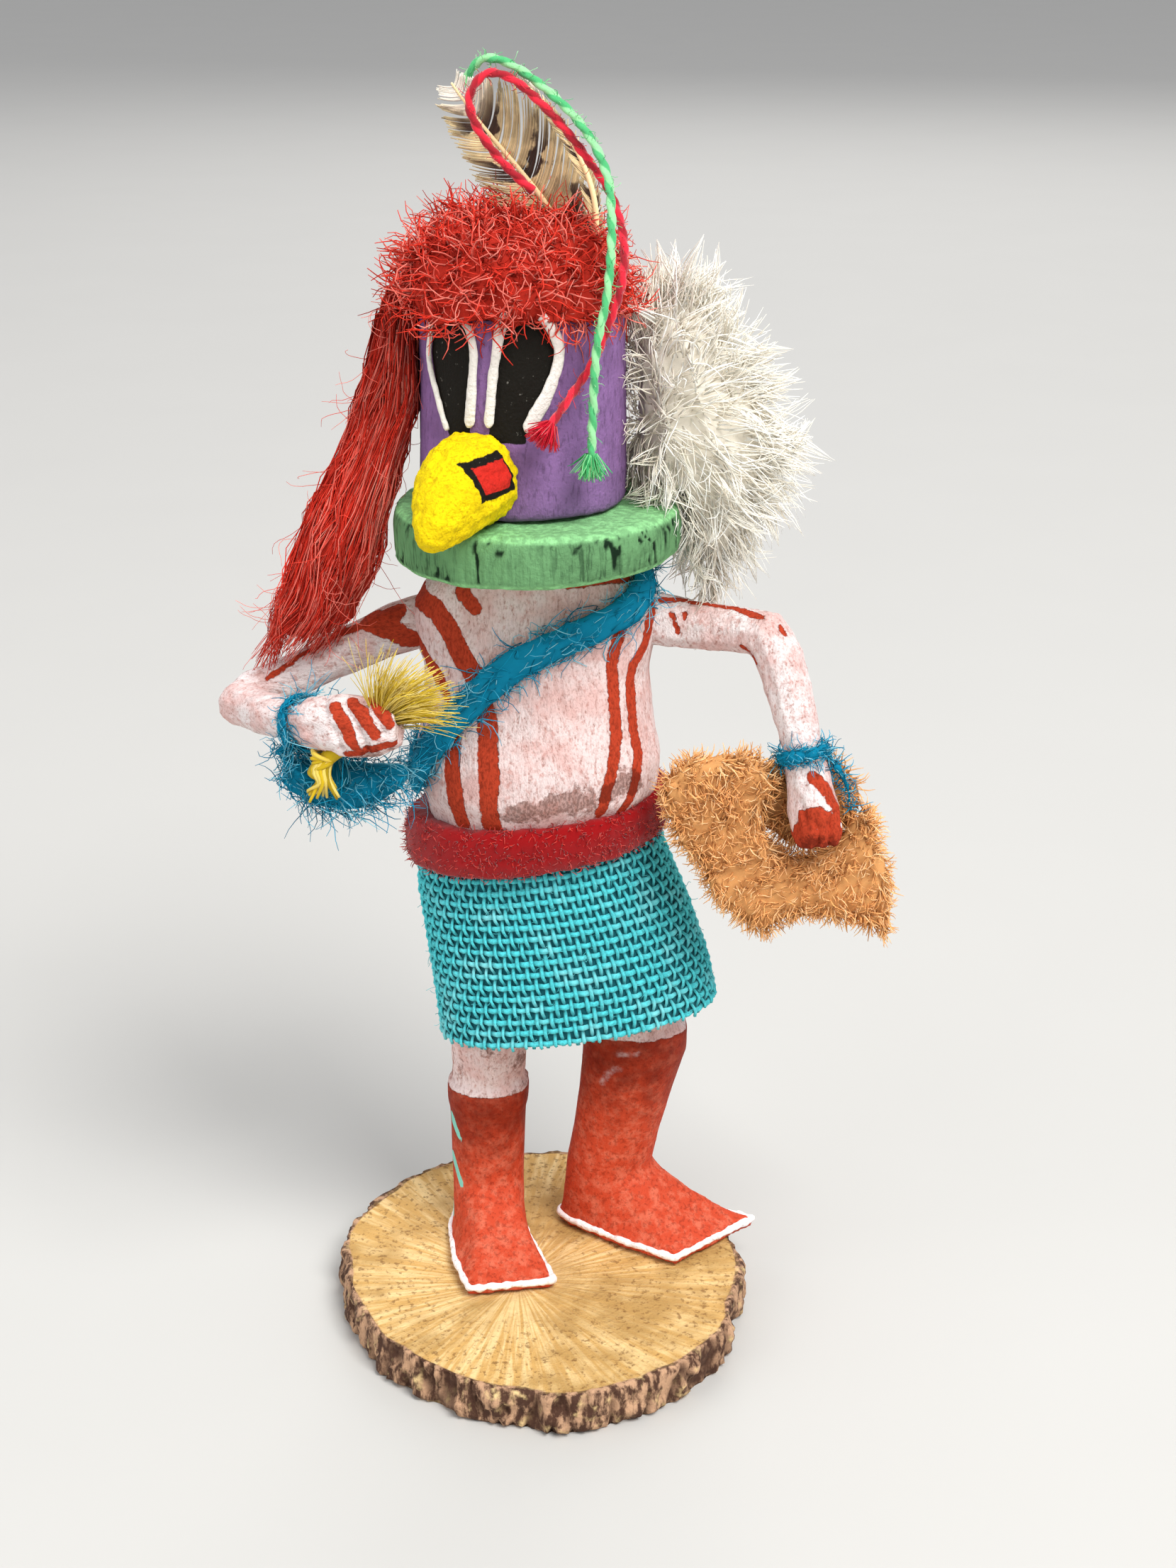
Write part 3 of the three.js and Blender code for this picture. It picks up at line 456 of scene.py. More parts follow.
# ---------------------------------------------------------------- node tools
class Nodes:
    """Adds nodes to one node tree and links what each is given."""

    def __init__(self, tree):
        self.tree = tree

    def add(self, kind, inputs=None, **settings):
        node = self.tree.nodes.new(kind if kind.startswith("Node") else "ShaderNode" + kind)
        for key, value in settings.items():
            setattr(node, key, value)
        for key, value in (inputs or {}).items():
            self.put(node.inputs[key], value)
        return node

    def put(self, socket, value):
        if isinstance(value, bpy.types.NodeSocket):
            self.tree.links.new(value, socket)
        else:
            socket.default_value = value

    def math(self, operation, a, b=0.0, clamp=False):
        return self.add("Math", {0: a, 1: b}, operation=operation, use_clamp=clamp).outputs[0]

    def times(self, a, b):
        return self.math("MULTIPLY", a, b)

    def plus(self, a, b):
        return self.math("ADD", a, b)

    def minus(self, a, b):
        return self.math("SUBTRACT", a, b)

    def between(self, value, low, high, smooth=True):
        """Where a value lies between two others, from 0 to 1."""
        kind = "SMOOTHSTEP" if smooth else "LINEAR"
        inputs = {"Value": value, "From Min": low, "From Max": high}
        return self.add("MapRange", inputs, interpolation_type=kind).outputs["Result"]

    def mix(self, a, b, share, blend="MIX"):
        node = self.add("Mix", data_type="RGBA", blend_type=blend)
        self.put(node.inputs[0], share)
        self.put(node.inputs[6], (*a, 1) if isinstance(a, tuple) else a)
        self.put(node.inputs[7], (*b, 1) if isinstance(b, tuple) else b)
        return node.outputs[2]

    def measure(self, name):
        """A measure that the piece's mesh carries."""
        return self.add("Attribute", attribute_name=name, attribute_type="GEOMETRY").outputs["Fac"]

    def place(self):
        """The place on the piece, in millimetres."""
        spot = self.add("TexCoord").outputs["Object"]
        return self.add("VectorMath", {0: spot, "Scale": 1 / MM}, operation="SCALE").outputs[0]

    def stretch(self, vector, factors):
        return self.add("VectorMath", {0: vector, 1: factors}, operation="MULTIPLY").outputs[0]

    def noise(self, vector, scale, detail=3.0, rough=0.55):
        inputs = {"Vector": vector, "Scale": scale, "Detail": detail, "Roughness": rough}
        return self.add("TexNoise", inputs).outputs["Fac"]

    def group(self, name, **inputs):
        node = self.add("Group", node_tree=bpy.data.node_groups[name])
        for key, value in inputs.items():
            self.put(node.inputs[key.replace("_", " ")], value)
        return node.outputs

    def brushed(self, name, place, ragged, soft):
        """Where a painted area lies, from the mesh's measure of how far each place is outside it."""
        inputs = {"Distance": self.measure(name), "Place": place, "Ragged": ragged, "Soft": soft}
        return self.group("Brushed edge", **inputs)["Mask"]

    def dimmed(self, colour, share):
        """A colour multiplied by a number."""
        grey = self.add("CombineColor", {0: share, 1: share, 2: share}).outputs[0]
        return self.mix(colour, grey, 1.0, "MULTIPLY")


def new_group(name, inputs, outputs):
    """An empty shader node group with its sockets, given as name: (kind, default)."""
    tree = bpy.data.node_groups.new(name, "ShaderNodeTree")
    for key, (kind, default) in inputs.items():
        socket = tree.interface.new_socket(key, in_out="INPUT", socket_type="NodeSocket" + kind)
        if default is not None:
            socket.default_value = default
    for key, kind in outputs.items():
        tree.interface.new_socket(key, in_out="OUTPUT", socket_type="NodeSocket" + kind)
    nodes = Nodes(tree)
    return nodes, nodes.add("NodeGroupInput").outputs, nodes.add("NodeGroupOutput").inputs


def build_groups():
    """The effects that several materials share."""
    # A painted area with ragged, dry-brushed edges, from how far a place is outside it.
    nodes, given, out = new_group(
        "Brushed edge",
        {"Distance": ("Float", 0.0), "Place": ("Vector", None), "Ragged": ("Float", 0.3),
        "Soft": ("Float", 0.1)},
        {"Mask": "Float"},
    )
    wave = nodes.minus(nodes.noise(given["Place"], 1.1, 4.0, 0.65), 0.5)
    moved = nodes.plus(given["Distance"], nodes.times(wave, given["Ragged"]))
    mask = nodes.add(
        "MapRange",
        {"Value": moved, "From Min": given["Soft"], "From Max": nodes.times(given["Soft"], -1.0)},
        interpolation_type="SMOOTHSTEP",
    )
    nodes.put(out["Mask"], mask.outputs["Result"])

    # Streaks along a direction that the place has been stretched in, as wood grain or dry brushing.
    nodes, given, out = new_group(
        "Streaks",
        {"Place": ("Vector", None), "Scale": ("Float", 1.0), "Low": ("Float", 0.4), "High": ("Float", 0.6)},
        {"Mask": "Float", "Height": "Float"},
    )
    height = nodes.noise(given["Place"], given["Scale"], 5.0, 0.62)
    nodes.put(out["Height"], height)
    nodes.put(out["Mask"], nodes.between(height, given["Low"], given["High"]))

    # Colours of hairs: each has its own tone, and painted shade darkens them towards their roots.
    nodes, given, out = new_group(
        "Hair colour",
        {
            "Dark": ("Color", (0, 0, 0, 1)),
            "Middle": ("Color", (0.5, 0.5, 0.5, 1)),
            "Light": ("Color", (1, 1, 1, 1)),
            "Root": ("Float", 0.45),
        },
        {"Color": "Color"},
    )
    tone = nodes.measure("tone")
    low = nodes.mix(given["Dark"], given["Middle"], nodes.between(tone, 0.0, 0.5, False))
    body = nodes.mix(low, given["Light"], nodes.between(tone, 0.5, 1.0, False))
    # Painted shade: the colour darkens where reach is low, at a hair's root.
    lit = nodes.between(nodes.measure("reach"), -0.1, 0.7)
    shade = nodes.plus(given["Root"], nodes.times(lit, nodes.minus(1.0, given["Root"])))
    nodes.put(out["Color"], nodes.dimmed(body, shade))


def new_material(name, roughness=0.8, sheen=0.0, specular=0.5):
    """An empty material, its nodes and its shader."""
    material = bpy.data.materials.new(name)
    material.use_nodes = True
    material.node_tree.nodes.clear()
    nodes = Nodes(material.node_tree)
    shader = nodes.add("BsdfPrincipled", {"Roughness": roughness, "Specular IOR Level": specular})
    if sheen:
        shader.inputs["Sheen Weight"].default_value = sheen
        shader.inputs["Sheen Roughness"].default_value = 0.5
    end = nodes.add("OutputMaterial")
    nodes.put(end.inputs["Surface"], shader.outputs[0])
    return material, nodes, shader


def bumped(nodes, shader, height, depth_mm, strength=1.0):
    """Feeds a height to a shader's normal."""
    inputs = {"Height": height, "Distance": depth_mm * MM, "Strength": strength}
    nodes.put(shader.inputs["Normal"], nodes.add("Bump", inputs).outputs[0])


def shaded(colour, factor):
    """A darker or lighter version of a colour."""
    return tuple(min(1.0, c * factor) for c in colour)


def toned(colour, other, share):
    return tuple(a + (b - a) * share for a, b in zip(colour, other))


# root is the share of the colour that the painted shade leaves at a hair's root.
def hair_material(name, dark, middle, light, root=0.45, sheen=0.0, roughness=0.8):
    material, nodes, shader = new_material(name, roughness, sheen, 0.08)
    colours = {"Dark": (*dark, 1), "Middle": (*middle, 1), "Light": (*light, 1)}
    colour = nodes.group("Hair colour", Root=root, **colours)["Color"]
    fleck = nodes.noise(nodes.place(), 0.55, 2.0)
    worn = nodes.plus(0.86, nodes.times(fleck, 0.28))
    nodes.put(shader.inputs["Base Color"], nodes.dimmed(colour, worn))
    bumped(nodes, shader, nodes.noise(nodes.place(), 9.0, 2.0), 0.04)
    return material


# ---------------------------------------------------------------- strings
# The strings' routes in metres, each from the feathers to its frayed end.
GREEN_ROUTE = MM * np.array([
    (-6.6, 1.5, 160.8), (-7.1, 1.1, 162.9), (-5.4, 0.2, 165.0), (-2.8, -0.7, 164.8), (2.6, -2.2, 161.3),
    (6.4, -4.0, 157.4), (8.6, -6.6, 153.2), (9.1, -9.2, 149.2), (9.0, -11.3, 144.4), (8.5, -12.0, 140.0),
    (7.6, -12.2, 135.8), (7.2, -12.2, 131.0), (7.0, -12.0, 126.0), (6.9, -12.0, 122.4),
])
RED_ROUTE = MM * np.array([
    (0.2, -0.4, 150.6), (-2.6, -1.0, 153.2), (-4.9, -1.4, 156.0), (-6.5, -1.8, 158.9), (-6.8, -1.9, 161.2),
    (-5.0, -1.9, 163.6), (-2.4, -2.2, 163.3), (2.6, -2.2, 159.1), (6.2, -3.0, 154.8), (9.0, -5.0, 151.0),
    (10.5, -8.0, 146.0), (10.2, -10.0, 141.4), (9.0, -10.2, 137.6), (7.0, -10.0, 132.8), (4.6, -11.4, 129.4),
    (2.2, -12.8, 126.2),
])
STRING_WIDE = 1.2  # the strings' diameter
FRAY = 2.9  # length of a frayed end


def yarn_material(name, light, dark, stripe):
    """Two plies wound round each other: a pale or bright one, and a darker one."""
    material, nodes, shader = new_material(name, 0.8, 0.3, 0.2)
    ply = nodes.measure("ply")
    fleck = nodes.noise(nodes.place(), 2.5, 2.0)
    mask = nodes.between(nodes.plus(ply, nodes.times(fleck, 0.5)), -0.05, 0.55)
    colour = nodes.mix(nodes.mix(dark, stripe, nodes.noise(nodes.place(), 0.5, 1.0)), light, mask)
    nodes.put(shader.inputs["Base Color"], colour)
    fibres = nodes.noise(nodes.stretch(nodes.place(), (5.0, 5.0, 1.2)), 2.0, 2.0)
    bumped(nodes, shader, fibres, 0.08)
    return material


def yarn(name, route, pitch, material, rng):
    """A string of two plies, with a few loose fibres."""
    line = smooth_line(route / MM, 200)
    run = np.linspace(0, line_length(line), len(line))
    sides = 12
    along = unit(np.gradient(line, axis=0))
    lift = np.array([0.35, -1.0, 0.2])
    t = unit(lift - (along @ lift)[:, None] * along)
    w = np.cross(along, t)
    angle = np.arange(sides) / sides * TURN
    turn = run / pitch * TURN
    lobe = np.cos(2 * (angle[None, :] - turn[:, None]))
    reach = STRING_WIDE / 2 * (0.8 + 0.14 * lobe) * (1 + 0.07 * noise(line, 1.5, 9))[:, None]
    ring = line[:, None] + reach[..., None] * (
        np.cos(angle)[None, :, None] * w[:, None] + np.sin(angle)[None, :, None] * t[:, None]
    )
    ply = np.cos(angle[None, :] - turn[:, None])
    pile = Pile().add(ring.reshape(-1, 3), stacked(len(line), sides), ply=ply.reshape(-1))
    number = 260
    loose = rng.integers(6, len(line) - 6, number)
    heading = unit(0.8 * rng.normal(size=(number, 3)) + along[loose])
    paths = grown(line[loose] + 0.4 * heading, heading, rng.uniform(0.5, 1.5, number), 5, rng, 0.5, 0.25)
    points, faces = tubes(paths, 0.04)
    pile.add(points, faces, ply=np.repeat(rng.uniform(-1, 1, number), 15))
    return pile.piece(name, material)


def frayed_end(name, route, material, rng):
    """The fibres of a string's end, spreading from where it stops."""
    line = smooth_line(route / MM, 60)
    along = unit(line[-1] - line[-4])
    number = 190
    spread = rng.normal(size=(number, 3)) * 0.26
    spread -= (spread @ along)[:, None] * along
    roots = line[-1] + spread * 0.9 - 0.35 * along
    length = rng.uniform(0.75, 1.15, number) * FRAY
    paths = grown(roots, along + spread * 1.15, length, 7, rng, 0.05, 0.06)
    pile = hairs(Pile(), paths, rng.uniform(0.07, 0.11, number), rng, tip=0.6)
    return pile.piece(name, material)


class DOLL_OT_strings(bpy.types.Operator):
    """Adds the two twisted strings that hang from the feathers"""

    bl_idname = "doll.strings"
    bl_label = "Strings"

    def execute(self, context):
        wool = context.scene.doll_wool
        rng = np.random.default_rng(11)
        green, pale, red = (tuple(c) for c in (wool.green, wool.pale, wool.crimson))
        green_yarn = yarn_material("Green string", toned(green, pale, 0.5), shaded(green, 0.6), green)
        # The red string's plies are one red: the brighter ply is painted highlight and the darker one painted
        # shade.
        red_yarn = yarn_material("Red string", shaded(red, 1.25), shaded(red, 0.7), shaded(red, 0.5))
        green_fray = hair_material("Frayed green", shaded(green, 0.7), green, pale, 0.85)
        red_fray = hair_material(
            "Frayed red", shaded(red, 0.8), shaded(red, 1.15), toned(red, (1, 0.4, 0.4), 0.35), 0.85
        )
        for name, route, pitch, line, loose in (
            ("green", GREEN_ROUTE, 4.2, green_yarn, green_fray),
            ("red", RED_ROUTE, 3.8, red_yarn, red_fray),
        ):
            string = yarn(f"{name}_twine", route, pitch, line, rng)
            fray = frayed_end(f"{name}_fray", route, loose, rng)
            path = smooth_line(route, 120)
            tuple(route[0])
            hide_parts(f"{name}_string")
            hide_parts(f"{name}_tassel")
        return {"FINISHED"}


# ---------------------------------------------------------------- stage
CAMERA_PLACE, CAMERA_TILT = (0.0065, -0.276, 0.1887), 68
LIT_PLACE = (0, 0, 0.085)  # where the lamps point
FLOOR_RADIUS, FLOOR_SIDES = 9000, 96


class DOLL_OT_stage(bpy.types.Operator):
    """Adds the camera, the soft lights and the plain floor"""

    bl_idname = "doll.stage"
    bl_label = "Stage"

    def execute(self, context):
        stage, scene = context.scene.doll_stage, context.scene
        camera = bpy.data.objects.new("Camera", bpy.data.cameras.new("Camera"))
        camera.location = CAMERA_PLACE
        camera.rotation_euler = (math.radians(CAMERA_TILT), 0, 0)
        camera.data.lens = stage.lens
        camera.data.sensor_width = 36
        camera.data.clip_start = 0.01
        scene.collection.objects.link(camera)
        scene.camera = camera
        for name, power, side, place in (
            ("Key", stage.key, 0.6, (0.46, -0.62, 1.05)),
            ("Fill", stage.fill, 1.0, (-1.1, -0.6, 0.6)),
            ("Back", stage.fill, 0.9, (0.2, 1.2, 0.9)),
        ):
            lamp = bpy.data.lights.new(name, "AREA")
            lamp.energy, lamp.size = power, side
            light = bpy.data.objects.new(name, lamp)
            light.location = place
            light.rotation_euler = (Vector(LIT_PLACE) - Vector(place)).to_track_quat("-Z", "Y").to_euler()
            scene.collection.objects.link(light)
        world = bpy.data.worlds.new("Pale room")
        world.use_nodes = True
        world.node_tree.nodes["Background"].inputs[0].default_value = (0.93, 0.95, 1.0, 1)
        world.node_tree.nodes["Background"].inputs[1].default_value = stage.sky
        scene.world = world
        scene.view_settings.view_transform = "Standard"
        material, nodes, shader = new_material("Plain floor", 0.9)
        soft = nodes.noise(nodes.place(), 0.02, 2.0)
        floor_tint = tuple(stage.floor)
        nodes.put(shader.inputs["Base Color"], nodes.mix(shaded(floor_tint, 0.97), floor_tint, soft))
        angle = np.arange(FLOOR_SIDES) / FLOOR_SIDES * TURN
        edge = columns(FLOOR_RADIUS * np.cos(angle), FLOOR_RADIUS * np.sin(angle), -0.002)
        floor = Pile().add(edge, [np.arange(FLOOR_SIDES)[None, :]]).piece("floor", material, False)
        floor.parent = None
        return {"FINISHED"}


# ---------------------------------------------------------------- branch slice
PITH = (-3.0, -4.0)  # the heart of the branch


def base_material(base):
    material, nodes, shader = new_material("Branch slice", 0.82, 0.0, 0.3)
    place = nodes.place()
    split = nodes.add("SeparateXYZ", {0: place}).outputs
    x = nodes.minus(split[0], PITH[0])
    y = nodes.minus(split[1], PITH[1])
    bearing = nodes.math("ARCTAN2", y, x)
    radius = nodes.math("SQRT", nodes.plus(nodes.times(x, x), nodes.times(y, y)))
    # Rays: a circle far wider than the slice turns bearings into places, so streaks run outward.
    ray_x = nodes.times(nodes.math("COSINE", bearing), 14.0)
    ray_y = nodes.times(nodes.math("SINE", bearing), 14.0)
    rays_at = nodes.add("CombineXYZ", {0: ray_x, 1: ray_y, 2: nodes.times(radius, 0.06)}).outputs[0]
    rays = nodes.group("Streaks", Place=rays_at, Scale=1.5, Low=0.40, High=0.62)
    dots = nodes.group("Streaks", Place=place, Scale=1.25, Low=0.53, High=0.66)
    wide = nodes.noise(place, 0.09, 3.0)
    wood = nodes.mix(tuple(base.wood), tuple(base.pale), rays["Mask"])
    wood = nodes.mix(wood, shaded(tuple(base.wood), 0.72), nodes.between(wide, 0.42, 0.7))
    inner = nodes.between(radius, 3.0, 16.0)
    wood = nodes.mix(wood, tuple(base.fleck), nodes.times(dots["Mask"], nodes.times(inner, 0.7)))
    rim = nodes.measure("bark")
    barked_at = nodes.stretch(place, (1.0, 1.0, 0.4))
    cracks = nodes.group("Streaks", Place=barked_at, Scale=0.8, Low=0.42, High=0.6)
    bark = nodes.mix(tuple(base.bark_dark), tuple(base.bark), cracks["Mask"])
    bark = nodes.mix(bark, tuple(base.pale), nodes.between(nodes.noise(place, 0.5, 4.0), 0.55, 0.78))
    bark = nodes.mix(bark, tuple(base.bark_dark), nodes.measure("crack"))
    colour = nodes.mix(
        wood, bark, nodes.between(nodes.plus(rim, nodes.times(cracks["Height"], 0.4)), 0.5, 0.8)
    )
    nodes.put(shader.inputs["Base Color"], colour)
    height = nodes.plus(nodes.times(rays["Height"], 0.7), nodes.times(dots["Height"], 0.8))
    height = nodes.plus(height, cracks["Height"])
    bumped(nodes, shader, height, 0.35)
    return material


class DOLL_OT_base(bpy.types.Operator):
    """Adds the slice of a branch that the dancer stands on"""

    bl_idname = "doll.base"
    bl_label = "Branch slice"

    def execute(self, context):
        base = context.scene.doll_base
        low, high = (np.array(corner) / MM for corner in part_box("base_slice"))
        centre = (low + high) / 2
        tree = tree_of("base_slice")
        sides = base.sides
        angle = np.arange(sides) / sides * TURN
        edge = []
        for a in angle:
            way = Vector((math.cos(a), math.sin(a), 0))
            spot = Vector((centre[0], centre[1], 3.0)) + 60 * way
            edge.append(60 - tree.ray_cast(spot, -way)[3])
        edge = np.array(edge)
        top = high[2]
        rows = []
        heights = [(0.0, 1.0), (0.25, 0.45)] + [(z, 0.0) for z in np.linspace(0.7, top - 0.9, 12)]
        heights += [(top - 0.5, 0.12), (top - 0.15, 0.4), (top, 0.95)]
        for z, inset in heights:
            spot = columns(edge * np.cos(angle), edge * np.sin(angle), z)
            long = noise(spot, (1.5, 1.5, 5.0), 3)
            crack = np.clip(0.25 - np.abs(noise(spot, (1.9, 1.9, 9.0), 5)), 0, 1) * 4
            plate = noise(spot, (3.4, 3.4, 2.2), 8)
            sides_on = min(1.0, 2.2 * min(z, top - z) + 0.25)
            rough = (0.4 * long + 0.28 * noise(spot, 0.7, 4) + 0.5 * plate - 1.15 * crack - 0.2) * sides_on
            rows.append((z, edge - inset + rough - 0.1, crack * sides_on, 1.0 if z < top - 0.1 else 0.55))
        for share in (0.985, 0.965, 0.94, *np.linspace(0.9, 0.04, 22)):
            spot = columns(edge * np.cos(angle) * share, edge * np.sin(angle) * share, top)
            dip = 0.05 * noise(spot, 1.1, 2) + 0.12 * noise(spot, 9, 6) - 0.1
            rows.append((top + dip, (edge - 0.95) * share, np.zeros(sides), 0.55 if share > 0.98 else 0.0))
        points, bark, cracks = [], [], []
        for z, r, crack, mark in rows:
            points.append(columns(centre[0] + r * np.cos(angle), centre[1] + r * np.sin(angle), z))
            bark.append(np.full(sides, mark))
            cracks.append(crack)
        pile = Pile().add(
            np.concatenate(points), stacked(len(rows), sides), bark=np.concatenate(bark),
            crack=np.clip(np.concatenate(cracks), 0, 1),
        )
        piece = pile.piece("branch_slice", base_material(base))
        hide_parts("base_slice")
        return {"FINISHED"}


# ---------------------------------------------------------------- carved and painted wood
TRUNK_MIDDLE_Y = 4.4
LEG_TOP = 46
BETWEEN_BOOTS = 2.5  # the right boot is on the low side of this, the left one on the high side
# Painted stripes down the trunk, each with half its width.
STRIPES = (
    ([(-9.4, -4.1, 73.6), (-10.0, -4.9, 77.2), (-10.4, -4.7, 80.4), (-10.4, -4.4, 84.0), (-11.0, -3.6, 87.4),
      (-11.6, -3.0, 90.2), (-12.6, -1.2, 92.2), (-13.4, 0.5, 93.4), (-15.2, 2.2, 95.4)], 1.2),
    ([(-5.4, -5.3, 73.6), (-5.7, -6.6, 80.6), (-5.8, -5.7, 84.0), (-5.9, -5.0, 87.5), (-6.7, -4.2, 91.2),
      (-7.7, -3.5, 93.4), (-9.2, -2.8, 95.6), (-10.4, -1.9, 98.2), (-12.0, -0.6, 100.4), (-14.5, 2.0, 101.3),
      (-14.6, 4.4, 101.6)], 1.35),
    ([(-8.6, -1.4, 104.4), (-9.0, -1.6, 103.2), (-7.3, -2.4, 101.3)], 1.0),
    ([(8.0, -5.4, 73.6), (8.2, -5.6, 76.0), (8.9, -5.8, 78.6), (9.7, -5.0, 82.1), (10.0, -3.8, 85.5),
      (9.7, -3.3, 88.6), (9.6, -2.9, 91.7), (9.4, -2.8, 94.1), (9.7, -2.5, 95.9), (10.5, -2.1, 98.0),
      (11.0, -1.0, 101.6), (10.8, 2.0, 104.0)], 0.8),
    ([(10.4, -4.1, 73.6), (10.9, -4.1, 75.6), (11.9, -4.0, 77.7), (12.4, -3.6, 80.3), (12.6, -2.7, 82.6),
      (12.1, -2.3, 85.2), (11.8, -1.8, 88.1), (11.7, -1.3, 91.1), (12.1, -1.1, 93.5), (13.6, 0.2, 95.5),
      (14.1, 0.3, 98.7), (14.0, 2.6, 101.4)], 0.78),
)
SHOULDER_PATCH = [(-20.4, 3.2, 97.9), (-18.0, 2.8, 97.0), (-15.4, 2.3, 95.6), (-13.6, 0.8, 93.6)]
CREASE = [
    (-3.0, -6.6, 76.2), (0.2, -7.0, 76.6), (3.0, -7.0, 77.2), (6.0, -6.6, 77.8), (9.8, -5.4, 78.6),
    (12.0, -4.0, 78.8)
]
BOOT_STROKES = (
    [(-12.4, 6.8, 25.3), (-11.2, 4.9, 22.4)],
    [(-12.4, 7.4, 18.8), (-11.0, 5.4, 15.4)],
    [(-12.8, 8.4, 12.8), (-12.2, 6.6, 9.9)],
)
BOOT_SMEARS = [(8.3, 5.7, 31.0), (9.1, 5.2, 32.8), (10.6, 4.5, 33.9)], [(10.3, 4.2, 36.4), (13.0, 3.7, 36.6)]


def skin_material(name, carving, grain, pink):
    """Whitewash over bare wood, with red stripes, boots and small strokes painted on it.

    grain is how the place is stretched, so that streaks run along the carving. pink is the share of
    blush in the whitewash.
    """
    material, nodes, shader = new_material(name, 0.8, 0.0, 0.1)
    place = nodes.place()
    streak = nodes.group("Streaks", Place=nodes.stretch(place, grain), Scale=1.7, Low=0.34, High=0.47)
    fine = nodes.group(
        "Streaks", Place=nodes.stretch(place, toned(grain, (1, 1, 1), 0.4)), Scale=3.4, Low=0.34, High=0.5
    )
    crumb = nodes.group(
        "Streaks", Place=nodes.stretch(place, toned(grain, (1, 1, 1), 0.6)), Scale=1.5, Low=0.52, High=0.68
    )
    broad = nodes.between(nodes.noise(place, 0.17, 3.0, 0.6), 0.4, 0.66)
    wood, white, blush = (tuple(c) for c in (carving.wood, carving.whitewash, carving.blush))
    wash = nodes.mix(toned(white, blush, pink), nodes.mix(white, blush, 0.9), nodes.times(broad, 0.75))
    wash = nodes.mix(wash, toned(blush, wood, 0.25), nodes.times(crumb["Mask"], 0.75))
    kept = nodes.math("MAXIMUM", streak["Mask"], nodes.times(fine["Mask"], 0.75))
    wash = nodes.mix(toned(wood, blush, 0.45), wash, kept)
    wash = nodes.mix(nodes.mix(wash, toned(wood, blush, 0.3), 0.4), wash, fine["Mask"])
    # Bare wood shows where the paint is gone, and the same mask carries painted shade under the ruff and
    # under the arms.
    bare = nodes.brushed("bare", place, 5.0, 0.5)
    wash = nodes.mix(wash, toned(wood, blush, 0.3), nodes.times(bare, 0.6))
    rubbed = nodes.between(fine["Height"], 0.40, 0.56)
    colour = nodes.mix(wash, shaded(wood, 0.5), nodes.times(bare, nodes.times(rubbed, 0.6)))
    stripe = tuple(carving.stripe)
    stripe = nodes.mix(shaded(stripe, 0.6), shaded(stripe, 1.15), nodes.between(fine["Height"], 0.3, 0.6))
    red = nodes.brushed("red", place, 0.9, 0.07)
    # The stripes darken where bare wood shows and where painted shade falls.
    stripe_worn_and_shaded = nodes.mix(stripe, shaded(tuple(carving.stripe), 0.3), nodes.times(bare, 0.7))
    colour = nodes.mix(colour, stripe_worn_and_shaded, red)
    boot, dark = tuple(carving.boot), tuple(carving.boot_shaft_shade)
    patch = nodes.noise(place, 0.42, 5.0, 0.68)
    # Painted shade darkens the boots towards their tops, broken up by a noise.
    shaft = nodes.plus(nodes.measure("shaft"), nodes.minus(nodes.times(patch, 1.7), 0.85))
    pale = nodes.mix(
        boot, toned(boot, (0.95, 0.4, 0.25), 0.22),
        nodes.between(nodes.noise(place, 0.6, 4.0, 0.65), 0.42, 0.68)
    )
    leather = nodes.mix(pale, dark, nodes.times(nodes.between(shaft, 0.1, 1.5), 0.85))
    speck = nodes.between(nodes.noise(place, 1.8, 4.0, 0.7), 0.38, 0.5)
    leather = nodes.mix(nodes.mix(leather, shaded(dark, 0.8), 0.4), leather, speck)
    booted = nodes.brushed("boot", place, 0.7, 0.08)
    colour = nodes.mix(colour, leather, booted)
    stroke = nodes.brushed("stroke", place, 0.35, 0.06)
    colour = nodes.mix(colour, tuple(carving.stroke), stroke)
    smear = nodes.brushed("smear", place, 1.8, 0.6)
    colour = nodes.mix(colour, nodes.mix(dark, white, 0.5), nodes.times(smear, 0.8))
    nodes.put(shader.inputs["Base Color"], colour)
    height = nodes.plus(streak["Height"], nodes.times(fine["Height"], 0.8))
    height = nodes.plus(height, nodes.times(crumb["Height"], 0.5))
    flat = nodes.minus(1.0, nodes.times(nodes.math("MAXIMUM", booted, red), 0.6))
    bumped(nodes, shader, nodes.times(height, flat), 0.32)
    nodes.put(shader.inputs["Roughness"], nodes.minus(0.84, nodes.times(booted, 0.22)))
    return material


def grooved(points, normals, line, half, depth):
    """A groove cut along a line."""
    gap = np.maximum(to_line(points, line), 0)
    return points - normals * (depth * np.exp(-((gap / half) ** 2)))[:, None]


